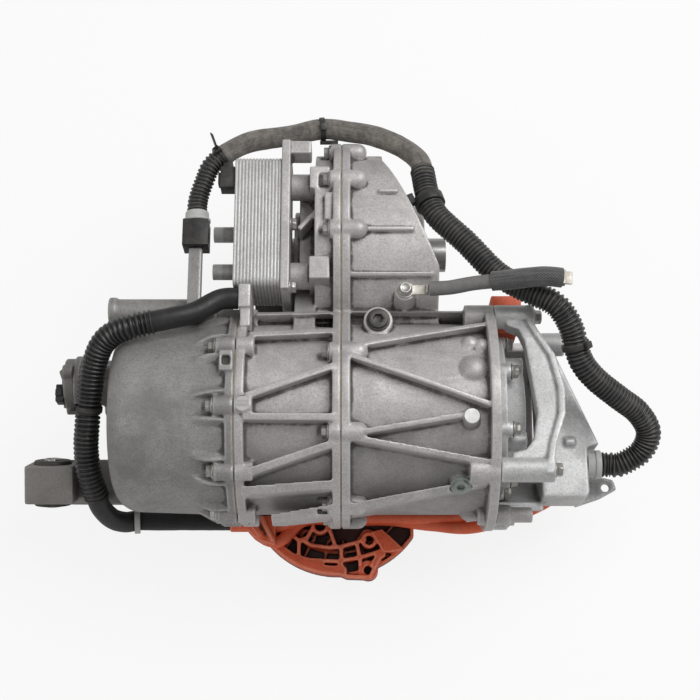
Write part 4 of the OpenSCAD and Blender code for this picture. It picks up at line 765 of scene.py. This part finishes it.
cooler = grown("oil_cooler_stack", bpy.data.meshes.new("oil_cooler_stack"), stack_tree, {
    "Plate": pressing, "Count": cooler_count, "Pitch": (cooler_pitch / 1000, 0, 0),
    "Start": ((cooler_x0 - origin_x) / 1000, 0, 0), "Material": cooler_metal})
bpy.data.objects.remove(pressing)
mark_hollows_and_edges(cooler.data)
dress(cooler, "cooler_aluminium", "oil_cooler")
dress(cast("cooler_base_plate", raw_copy("cooler_plate"), 0.0015, 3, 110000, case_metal), "cast_aluminium",
      "cooler_plate")
mark_hollows_and_edges(eased_node("coolant_spigots", "turned", 0.0006, cooler_metal, "cooler_aluminium").data)

# Oil filter
# A fluted cartridge lid moulded in black glass-filled nylon. It is screwed into the lobe and
# has a hexagon to turn it by.
filter_black = surface("filter_black", (0.060, 0.059, 0.057), (0.034, 0.034, 0.033), 0.46, grain=1400.0,
    dust=0.35)
eased_node("oil_filter", "moulded", 0.0008, filter_black, "black_plastic")

# Oil pump
# A small cast pump on the motor's left end with its electric motor under a lugged cap, and a
# black two-way connector on the cap.


def add_block(bm, lo, hi, turn=None):
    """A closed box between two corners, turned about its middle."""
    scale = Matrix.Diagonal((*(hi - lo), 1))
    turn = turn or Matrix.Identity(4)
    bmesh.ops.create_cube(bm, size=1, matrix=Matrix.Translation((lo + hi) / 2) @ turn @ scale)


cast_node("oil_pump", 0.0014, 3, 60000, motor_metal, "cast_aluminium")
pump_y, pump_z, pump_r, pump_x0, cap_depth = 47, -8, 27, -328.8, 12
cap_bm = bmesh.new()
add_bar(cap_bm, unit(pump_x0, pump_y, pump_z), unit(pump_x0 + cap_depth, pump_y, pump_z), (pump_r + 2) / 1000,
    sides=48)
add_bar(cap_bm, unit(pump_x0 - 3, pump_y, pump_z), unit(pump_x0 + 2, pump_y, pump_z), (pump_r - 9) / 1000,
        (pump_r - 6) / 1000, sides=48)
for lug_angle in (80, 200, 320):
    lug_y = pump_y + (pump_r + 3) * math.cos(math.radians(lug_angle))
    lug_z = pump_z + (pump_r + 3) * math.sin(math.radians(lug_angle))
    add_bar(cap_bm, unit(pump_x0, lug_y, lug_z), unit(pump_x0 + cap_depth, lug_y, lug_z), 0.008)
    add_bar(cap_bm, unit(pump_x0 - 1.5, pump_y, pump_z), unit(pump_x0 - 1.5, lug_y, lug_z), 0.0035, 0.003, 12)
dress(cast("pump_motor_cap", cap_bm, 0.0012, 3, 60000, motor_metal), "cast_aluminium", "pump_motor")
black_plastic = surface("black_plastic", (0.022, 0.022, 0.023), (0.012, 0.012, 0.013), 0.42, grain=1800.0,
    dust=0.15)
plug_bm = bmesh.new()
add_block(plug_bm, unit(pump_x0 - 10, pump_y - pump_r, pump_z - 2),
    unit(pump_x0 - 0.2, pump_y - 6, pump_z + 16))
add_block(plug_bm, unit(pump_x0 - 10, pump_y - pump_r + 6, pump_z + 15.5),
    unit(pump_x0 - 2, pump_y - 12, pump_z + 19))
dress(eased("pump_connector", plug_bm, 0.0012, black_plastic, turns=3), "black_plastic")

# High-voltage guard, connectors and cables
# An orange moulded shield under the barrel and the orange connectors and jackets that mark the
# high-voltage side.
# Its hollows take near-black dirt and painted shade
orange_plastic = cast_metal("orange_plastic", (0.86, 0.145, 0.050), (0.72, 0.105, 0.036), (0.92, 0.31, 0.19),
    (0.030, 0.012, 0.008), 1.0, grain=1500.0, metal=0.0, rough=0.46, bump=0.12)
# Painted shade: the moulding goes near black towards the floor of the guard's cells
painted_shade_along(orange_plastic, "Z", -0.0935, -0.0835, (0.020, 0.010, 0.008), 0.96)


def add_web(bm, corners, width, low, high):
    """A moulded web of even width through these corners, standing between two heights; all in mm."""
    for (x0, y0), (x1, y1) in zip(corners, corners[1:]):
        run = Vector((x1 - x0, y1 - y0, 0))
        turn = Matrix.Rotation(math.atan2(run.y, run.x), 4, "Z")
        half = Vector((run.length / 2, width / 2, (high - low) / 2)) / 1000
        middle = unit((x0 + x1) / 2, (y0 + y1) / 2, (low + high) / 2)
        add_block(bm, middle - half, middle + half, turn)
    for x, y in corners:
        add_bar(bm, unit(x, y, low), unit(x, y, high), width / 2000, sides=12)


def add_slab(bm, corners, low, high):
    """A flat slab with this outline between two heights; all in mm."""
    loft(bm, [[bm.verts.new(unit(x, y, z)) for x, y in corners] for z in (low, high)])


def ring_points(x, y, r, degrees):
    """Points round a centre at these angles."""
    return [(x + r * math.cos(math.radians(d)), y + r * math.sin(math.radians(d))) for d in degrees]


guard_floor, guard_low, guard_top, slab_top = -127.8, -127, -107, -125
guard_bm = raw_copy("hv_guard")
add_web(guard_bm, ring_points(-5, -54, 107, range(-141, -85, 6)), 11, guard_low, guard_top)
add_slab(guard_bm, [(-60, -110), (45, -110), (45, -140), (-60, -140)], guard_floor, slab_top)
add_bar(guard_bm, unit(32, -160, guard_floor), unit(32, -160, slab_top), 0.010)
for web_corners in ([(-82, -131), (-64, -142), (-39, -148), (-3, -150)],
        [(-48, -124), (-38, -130), (-15, -133), (-3, -132), (16, -127), (28, -123)],
        [(-53, -148), (-53, -124), (-73, -109)], [(-52, -124), (-43, -121), (-36, -108)],
        [(-18, -103), (-9, -129)], [(-1, -132), (-1, -162)], [(18, -127), (22, -148), (22, -155)],
        [(-1, -149), (22, -145), (48, -137)], [(-3, -164), (6, -168), (34, -169), (46, -145), (51, -142)],
        [(36, -155), (45, -139)]):
    add_web(guard_bm, web_corners, 4.4, guard_low, guard_top)
for boss_x, boss_y, boss_r in ((-27, -106, 9), (33, -124, 8), (-74, -117, 8)):
    boss_ring = ring_points(boss_x, boss_y, boss_r, range(0, 361, 30))
    for boss_side in zip(boss_ring, boss_ring[1:]):
        add_web(guard_bm, boss_side, 4.0, guard_low, guard_top + 1)
add_slab(guard_bm, [(50, -139), (60, -139), (76, -136), (49, -111), (36, -114)], -118, guard_top + 3)
dress(cast("hv_guard_moulded", guard_bm, 0.0013, 4, 120000, orange_plastic), "orange_plastic", "hv_guard")
connector_bm = raw_copy("hv_connector")
bmesh.ops.delete(connector_bm, geom=[v for v in connector_bm.verts if v.co.x < 0], context="VERTS")
add_slab(connector_bm, [(-119, -98), (-117, -112), (-107, -123), (-96, -130), (-81, -134), (-81, -98)],
    -113, -86)
add_web(connector_bm, [(-112, -104), (-100, -121)], 7, -100, -83)
add_web(connector_bm, [(-98, -100), (-84, -128)], 5, -100, -83)
add_bar(connector_bm, unit(-136, -103, -94), unit(-112, -103, -94), 0.0135)
add_block(connector_bm, unit(181, 98, -14), unit(208, 117, 28))
dress(cast("hv_connectors_moulded", connector_bm, 0.0012, 4, 80000, orange_plastic), "orange_plastic",
    "hv_connector")

run_steps = 8


def smooth_run(points):
    """The run of a hose: a smooth curve through its points, in millimetres."""
    p = [Vector(q) for q in points]
    run = []
    last = len(p) - 1
    for i in range(last):
        a, b, c, d = p[max(i - 1, 0)], p[i], p[i + 1], p[min(i + 2, last)]
        for k in range(run_steps):
            t = k / run_steps
            run.append(0.5 * (2 * b + (c - a) * t + (2 * a - 5 * b + 4 * c - d) * t * t
                + (3 * b - a - 3 * c + d) * t ** 3))
    run.append(p[last])
    return run


tube_tree, tube_in = new_tree("tube_along_run", {
    "Radius": "Float", "Depth": "Float", "Pitch": "Float", "Step": "Float", "Sides": "Int", "Wobble": "Float",
    "Wobble Scale": "Float"})


def noted(curve, name, value):
    """A curve that hands a value on to the mesh swept along it."""
    return put(tube_tree, "GeometryNodeStoreNamedAttribute", {"Geometry": curve, "Name": name,
        "Value": value}, data_type="FLOAT", domain="POINT").outputs[0]


run_line = put(tube_tree, "GeometryNodeMeshToCurve", {"Mesh": tube_in["Geometry"]})
run_even = put(tube_tree, "GeometryNodeResampleCurve", {"Curve": run_line, "Length": tube_in["Step"]},
    mode="LENGTH")
run_at = put(tube_tree, "GeometryNodeSplineParameter").outputs["Length"]
ring_phase = times(reckoned("DIVIDE", run_at, tube_in["Pitch"]), math.tau)
ring_wave = put(tube_tree, "ShaderNodeMath", {0: ring_phase}, operation="SINE")
ring_flat = put(tube_tree, "ShaderNodeClamp", {0: times(ring_wave, 1.7), 1: -1.0, 2: 1.0})
ring_dip = times(added(ring_flat, -1.0), 0.5)
loose = put(tube_tree, "ShaderNodeTexNoise", {"Scale": tube_in["Wobble Scale"], "Detail": 2.0})
loose_by = times(added(loose, -0.5), tube_in["Wobble"])
ring_size = added(tube_in["Radius"], times(ring_dip, tube_in["Depth"]), loose_by)
hoop = put(tube_tree, "GeometryNodeCurvePrimitiveCircle", {"Resolution": tube_in["Sides"], "Radius": 1.0})
hoop_at = put(tube_tree, "GeometryNodeSplineParameter").outputs["Factor"]
run_noted = noted(noted(run_even, "along", run_at), "groove", ring_dip)
swept = put(tube_tree, "GeometryNodeCurveToMesh", {
    "Curve": run_noted, "Profile Curve": noted(hoop, "round", hoop_at), "Scale": ring_size,
    "Fill Caps": True})
end_tree(swept, tube_in)


def tube(name, run, radius, material, depth=0.0, pitch=5.0, step=1.5, sides=28, wobble=0.0,
        wobble_scale=40.0):
    """A tube along a run; sizes in millimetres. Depth and pitch give it rings, wobble a loose skin."""
    line = bpy.data.meshes.new(name)
    line.from_pydata([unit(*q) for q in run], [(k, k + 1) for k in range(len(run) - 1)], [])
    return grown(name, line, tube_tree, {"Radius": radius / 1000, "Depth": depth / 1000,
        "Pitch": pitch / 1000, "Step": step / 1000, "Sides": sides, "Wobble": wobble / 1000,
        "Wobble Scale": wobble_scale, "Material": material})


def joined(name, pieces):
    """Several pieces made one, each keeping its own material."""
    bm = bmesh.new()
    materials = []
    for piece in pieces:
        first = len(bm.faces)
        bm.from_mesh(piece.data)
        bm.faces.ensure_lookup_table()
        if piece.data.materials[0] not in materials:
            materials.append(piece.data.materials[0])
        for face in bm.faces[first:]:
            face.material_index = materials.index(piece.data.materials[0])
    for piece in pieces:
        bpy.data.objects.remove(piece)
    return new_piece(name, mesh_of(name, bm), *materials)


orange_jacket = surface("orange_jacket", (0.86, 0.150, 0.058), (0.70, 0.108, 0.040), 0.5, grain=1200.0,
    bump=0.2, dust=0.25, dust_tone=(0.66, 0.26, 0.17))
hv_tubes = []
for i, (entry_x, hv_y, hv_z) in enumerate(((254, -108, -96), (276, -126, -111))):
    hv_run = smooth_run([(-90, hv_y, -100), (-74, hv_y, -100), (-46, -99, hv_z), (10, -98.5, hv_z),
        (60, -98.5, hv_z), (110, -97 - 8 * i, -106 - 4 * i), (170, -88 - 17 * i, -118),
        (entry_x - 20, -58 - 14 * i, -122), (entry_x, -36, -106), (entry_x, -36, -90), (entry_x, -36, -70)])
    hv_tubes.append(tube("hv_cable_%d" % i, hv_run, 7.5, orange_jacket, step=3.0, sides=24))
dress(joined("hv_cable_jackets", hv_tubes), "orange_jacket", "hv_cables")

# Harness over the top
# Black corrugated conduit from the right-hand socket, a woven sleeve over the lobe, and more
# conduit down to the harness socket behind the motor.
right_points = [(307.6, -50, -21), (316, -50, -21), (330, -50, -18), (353, -37, -8), (360, -17, 6),
    (346, 2, 22), (322, 15, 38), (294, 32, 54), (277, 48, 66), (268, 66, 78), (264, 80, 86), (255, 96, 95),
    (240, 111, 100), (205, 132, 93), (178, 153, 86), (146, 191, 82), (127, 211, 79), (112, 229, 75),
    (104, 248, 71), (100, 268, 66), (97, 290, 62)]
sleeve_points = [(92, 309, 58), (70, 329, 54), (39, 344, 51), (10, 350, 50), (-24, 354, 50), (-64, 343, 54),
    (-110, 330, 64), (-138, 311, 72)]
top_points = [(-156, 294, 73), (-164, 276, 70), (-170, 258, 67), (-172, 246, 66), (-172, 236, 66)]
top_run = smooth_run(right_points + sleeve_points + top_points)
sleeve_from = run_steps * (len(right_points) - 1)
sleeve_to = sleeve_from + run_steps * len(sleeve_points)


def ribbed(name, crest, groove_shade, dust_tone, dust, rough):
    """Moulded conduit: worn, dusty crests over less dusty grooves darkened with painted shade."""
    material, tree, shader = new_material(name)
    where = spot(tree)
    skin = placed(tree, skin_tree, Where=where, Grain=1500.0)
    on_crest = ranged(attribute(tree, "groove"), -0.9, -0.1)
    lying = ranged(noise(where, 38.0, 7.0, 0.72, 0.6), 0.40, 0.70)
    dusty = times(facing_up(tree, 0.2, 1.0), lying, ranged(on_crest, 0, 1, 0.3, 1.0, False), dust)
    # The grooves take the darker tone as painted shade
    colour = mixed(dusty, mixed(on_crest, groove_shade, crest), dust_tone)
    rough_value = added(ranged(skin["Mottle"], 0, 1, rough + 0.06, rough - 0.06, False), times(dusty, 0.35))
    wired(shader, colour, rough_value, skin["Height"], 0.12, 0.0003)
    return material


def woven(name, light, dark, thread, rough, lint, lint_tone):
    """Braided or woven cloth on a tube: threads cross along and round it, with dust and lint in them."""
    material, tree, shader = new_material(name)
    where, girth = spot(tree), 0.078
    along, round_it = attribute(tree, "along"), attribute(tree, "round")
    run_turns = times(along, math.tau / thread)
    hoop_turns = times(round_it, math.tau * round(girth / thread))
    crossing = [reckoned(how, run_turns, hoop_turns) for how in ("ADD", "SUBTRACT")]
    one, two = [put(tree, "ShaderNodeMath", {0: phase}, operation="SINE") for phase in crossing]
    weave = ranged(added(one, two), -1.6, 1.6)
    patchy = noise(where, 70.0, 7.0, 0.7, 0.4)
    drawn_out = put(tree, "ShaderNodeMapping", {"Vector": where, "Scale": (0.35, 1.0, 1.0)}).outputs[0]
    hair = noise(drawn_out, 600.0, 3.0, 0.6)
    strand_at = put(tree, "ShaderNodeCombineXYZ", {0: times(along, 14.0), 1: times(round_it, 34.0)})
    strand = ranged(noise(strand_at, 1.0, 4.0, 0.6), 0.42, 0.62, 0.55, 0.0)
    dusty = times(ranged(added(patchy, times(hair, 0.4)), 0.52, 0.95), lint)
    colour = mixed(strand, mixed(weave, dark, light), [c * 0.5 for c in dark])
    colour = mixed(dusty, colour, lint_tone)
    shader.inputs["Sheen Weight"].default_value = 0.25
    shader.inputs["Sheen Roughness"].default_value = 0.5
    wired(shader, colour, ranged(patchy, 0.3, 0.7, rough - 0.05, rough + 0.08),
          added(weave, times(hair, 0.5)), 0.5, 0.0005)
    return material


conduit_plastic = ribbed("conduit_plastic", (0.040, 0.040, 0.040), (0.010, 0.010, 0.010), (0.15, 0.14, 0.125),
    0.55, 0.38)
sleeve_cloth = woven("sleeve_cloth", (0.155, 0.145, 0.132), (0.085, 0.080, 0.074), 0.0022, 0.86, 0.75,
    (0.30, 0.27, 0.235))
dress(tube("right_conduit_rings", top_run[:sleeve_from + 3], 14.7, conduit_plastic, depth=2.4, pitch=4.7,
    step=0.7), "black_plastic", "right_conduit")
dress(tube("top_sleeve_cloth", top_run[sleeve_from - 2:sleeve_to + 3], 12.6, sleeve_cloth, step=3.0, sides=32,
           wobble=2.2, wobble_scale=30.0), "sleeve_fabric", "top_sleeve")
dress(tube("top_conduit_rings", top_run[sleeve_to - 2:], 12.0, conduit_plastic, depth=1.9, pitch=4.7,
    step=0.8), "black_plastic", "top_conduit")

# Harness round the left end
# A smooth rubber boot leaves the gear case, slit conduit runs round the motor's end, and an
# elbow boot hands over to a woven heat sleeve along the motor's foot.
boot_points = [(-119, 121, 84), (-140, 119, 86), (-167, 102, 91), (-195, 93, 96), (-221, 87, 97)]
left_points = [(-239, 82, 98), (-258, 77, 92), (-274, 66, 81), (-285, 45, 64), (-291, 18, 46),
    (-295, -13, 30), (-298, -39, 12), (-296, -64, -6), (-291, -82, -24)]
elbow_points = [(-287, -96, -44), (-277, -105, -68), (-264, -106, -86), (-250, -103, -94)]
heat_points = [(-210, -103, -94), (-170, -103, -94), (-128, -103, -94)]
left_run = smooth_run(boot_points + left_points + elbow_points + heat_points)
left_from = run_steps * (len(boot_points) - 1)
left_to = left_from + run_steps * len(left_points)
heat_from = left_to + run_steps * len(elbow_points)
slit_plastic = ribbed("slit_plastic", (0.026, 0.026, 0.027), (0.006, 0.006, 0.006), (0.12, 0.11, 0.10), 0.4,
    0.32)
boot_rubber = surface("boot_rubber", (0.016, 0.016, 0.017), (0.009, 0.009, 0.010), 0.42, grain=1300.0,
    bump=0.2, dust=0.15, dust_tone=(0.11, 0.10, 0.09))
heat_cloth = woven("heat_cloth", (0.020, 0.020, 0.021), (0.008, 0.008, 0.009), 0.0018, 0.88, 0.25,
    (0.07, 0.066, 0.06))
dress(tube("left_conduit_rings", left_run[left_from - 2:left_to + 3], 14.7, slit_plastic, depth=2.8,
    pitch=5.4, step=0.8), "black_plastic", "left_conduit")
boots = [tube("boot_%d" % i, run, 12.4, boot_rubber, step=2.0, sides=32, wobble=1.2, wobble_scale=25.0)
         for i, run in enumerate((left_run[:left_from + 1], left_run[left_to:heat_from + 1]))]
dress(joined("left_boot_pair", boots), "rubber", "left_boots")
dress(tube("heat_sleeve_cloth", left_run[heat_from:], 11.5, heat_cloth, step=2.5, sides=32, wobble=1.6,
           wobble_scale=35.0), "braid_fabric", "heat_sleeve")

# Conduit collars
# Pale grey collars, moulded in nylon and clipped on where a conduit enters a socket or a sleeve
# begins.
grey_plastic = surface("grey_plastic", (0.52, 0.53, 0.52), (0.42, 0.43, 0.42), 0.46, grain=1500.0, dust=0.3)
eased_node("conduit_collars", "moulded", 0.0010, grey_plastic, "grey_plastic")

# Ties, clips and the harness socket
# Black nylon ties with square heads, a saddle on the flange, a clip on the lobe's wall, and the
# socket that takes the harness behind the motor.
clips_bm = raw_copy("cable_clips")


def tie_head(run, index, radius, lean, tail=0.0):
    """The square head of a tie at a point of a run, leaning to one side, with its cut-off tail; in mm."""
    at, ahead = unit(*run[index]), unit(*run[min(index + 1, len(run) - 1)])
    line = (ahead - at).normalized()
    out = Vector(lean)
    out = (out - line * out.dot(line)).normalized()
    turn = Matrix((line.cross(out), line, out)).transposed().to_4x4()
    middle = at + out * (radius + 2.6) / 1000
    blocks = [(middle, (0.0085, 0.0075, 0.0052, 1))]
    if tail:
        blocks.append((middle + out * tail / 2000, (0.0045, 0.0014, tail / 1000, 1)))
    for place, size in blocks:
        shape = Matrix.Translation(place) @ turn @ Matrix.Diagonal(size)
        bmesh.ops.create_cube(clips_bm, size=1, matrix=shape)


tie_head(top_run, run_steps * (len(right_points) + 4), 13.6, (0, -0.3, 1))
tie_head(top_run, run_steps * 9, 15.9, (0.5, 0.2, 1))
# A third tie holds the end of the sleeve; its strap is a ring of short bars and its tail is long
tail_at, strap_r, strap_sides = sleeve_to + 3, 0.0130, 20
ring_at = unit(*top_run[tail_at])
ring_line = (unit(*top_run[tail_at + 1]) - ring_at).normalized()
ring_out = ring_line.orthogonal().normalized() * strap_r
tie_ring = [ring_at + Matrix.Rotation(math.tau * k / strap_sides, 3, ring_line) @ ring_out
    for k in range(strap_sides + 1)]
for ring_a, ring_b in zip(tie_ring, tie_ring[1:]):
    add_bar(clips_bm, ring_a, ring_b, 0.0016, sides=8)
tie_head(top_run, tail_at, 12.6, (-0.2, 0.2, 1), 30.0)
for block_low, block_high in (((-144, 262, 62), (-127, 288, 84)), ((-141, 286, 66), (-130, 296, 80)),
        ((-147, 268, 66), (-143, 282, 80))):
    add_block(clips_bm, unit(*block_low), unit(*block_high))
tie_head(left_run, left_from + run_steps * 5 + 4, 15.9, (-1, 0, 0.25))
dress(eased("cable_clips_moulded", clips_bm, 0.0006, black_plastic), "black_plastic", "cable_clips")

# Earth strap
# A tinned copper lug bolted to the case, and the braided strap in its dark sleeve that leads to
# the body of the vehicle, where it ends in a crimped tab.
strap_run = smooth_run([(101, 128, 98), (124, 128, 102), (152, 130, 111), (190, 130, 122), (226, 131, 130),
    (248, 130, 128)])
strap_cloth = woven("strap_cloth", (0.150, 0.150, 0.154), (0.026, 0.026, 0.028), 0.0034, 0.72, 0.25,
    (0.22, 0.21, 0.20))
shrink_grey = surface("shrink_grey", (0.20, 0.198, 0.20), (0.145, 0.143, 0.145), 0.52, grain=1200.0, bump=0.3,
    dust=0.3)
tinned = surface("tinned_copper", (0.55, 0.53, 0.49), (0.36, 0.33, 0.29), 0.42, metal=0.85, dust=0.2)
shrink_end = 20
braid = tube("strap_braid", strap_run[shrink_end:], 11.3, strap_cloth, step=2.0, sides=40, wobble=1.5,
    wobble_scale=30.0)
shrink = tube("strap_shrink", strap_run[:shrink_end + 2], 8.3, shrink_grey, step=2.0, sides=28, wobble=0.8)
strap = joined("earth_strap_braid", [braid, shrink])
dress(strap, "braid_fabric", "earth_strap")
eased_node("earth_lug", "stamped", 0.0006, tinned, "steel")
strap_path = [unit(*q) for q in strap_run]
tab_at, tab_line = strap_path[-1], (strap_path[-1] - strap_path[-2]).normalized()
tab_turn = Matrix.Rotation(math.atan2(tab_line.y, tab_line.x), 4, "Z")
tab_bm = bmesh.new()
for tab_low, tab_high in (((-0.005, -0.0085, -0.0045), (0.004, 0.0085, 0.0045)),
        ((0.001, -0.0075, -0.0022), (0.012, 0.0075, 0.0006))):
    add_block(tab_bm, tab_at + Vector(tab_low), tab_at + Vector(tab_high), tab_turn)
strap_tab = eased("strap_end_tab", tab_bm, 0.0006, tinned)
dress(strap_tab, "steel")
bolt_set("earth_bolt", (0, 0, 1), 20, 7, flange_r=8.5)

# Inside the motor
# A stator of stacked steel laminations with enamelled copper end windings, pressed into the
# barrel, round a laminated rotor on its ground shaft and bearings.
lamination = surface("lamination", (0.16, 0.165, 0.175), (0.10, 0.105, 0.115), 0.45, metal=0.8, grain=2200.0,
    bump=0.3)
copper = surface("enamelled_copper", (0.48, 0.20, 0.085), (0.34, 0.125, 0.05), 0.34, metal=0.8, grain=1200.0,
    bump=0.3)
ground_steel = surface("ground_steel", (0.50, 0.50, 0.50), (0.38, 0.38, 0.385), 0.28, metal=0.95,
    grain=2000.0, bump=0.08)
bearing_steel = surface("bearing_steel", (0.58, 0.58, 0.58), (0.48, 0.48, 0.485), 0.20, metal=1.0,
    grain=2400.0, bump=0.04)
paint(lamination, "stator_core", "rotor_core")
paint(copper, "stator_windings")
paint(ground_steel, "rotor_shaft", "input_pinion", "pump_rotor")
paint(bearing_steel, "rotor_bearings")

# Gear train and differential
# Case-hardened gears ground bright on their teeth, in a cast-iron differential cage, on ball
# bearings with rubber lip seals at the outputs.
gear_steel = surface("gear_steel", (0.42, 0.41, 0.40), (0.30, 0.295, 0.29), 0.30, metal=0.95, grain=1800.0,
    bump=0.1)
cast_iron = surface("cast_iron", (0.17, 0.165, 0.16), (0.10, 0.098, 0.095), 0.58, metal=0.6, bump=0.4)
lip_seal = surface("lip_seal", (0.10, 0.055, 0.035), (0.06, 0.032, 0.02), 0.6, bump=0.2)
paint(gear_steel, "layshaft", "layshaft_gear", "ring_gear", "left_output", "right_output", "spider_front",
      "spider_rear", "cross_pin")
paint(cast_iron, "diff_case")
paint(bearing_steel, "layshaft_bearings", "axle_bearings")
paint(lip_seal, "output_seals")

# Electronics
# Potted power modules screwed to their cooling plate, the lacquered control board above them,
# and the copper bars that lead the three phases to the motor.
potting = surface("potting", (0.060, 0.062, 0.066), (0.035, 0.036, 0.040), 0.40, grain=1600.0)
board_lacquer = surface("board_lacquer", (0.030, 0.16, 0.075), (0.016, 0.105, 0.045), 0.32, grain=2600.0,
    bump=0.2)
paint(potting, "power_stage")
paint(board_lacquer, "control_board")
paint(copper, "phase_busbars")
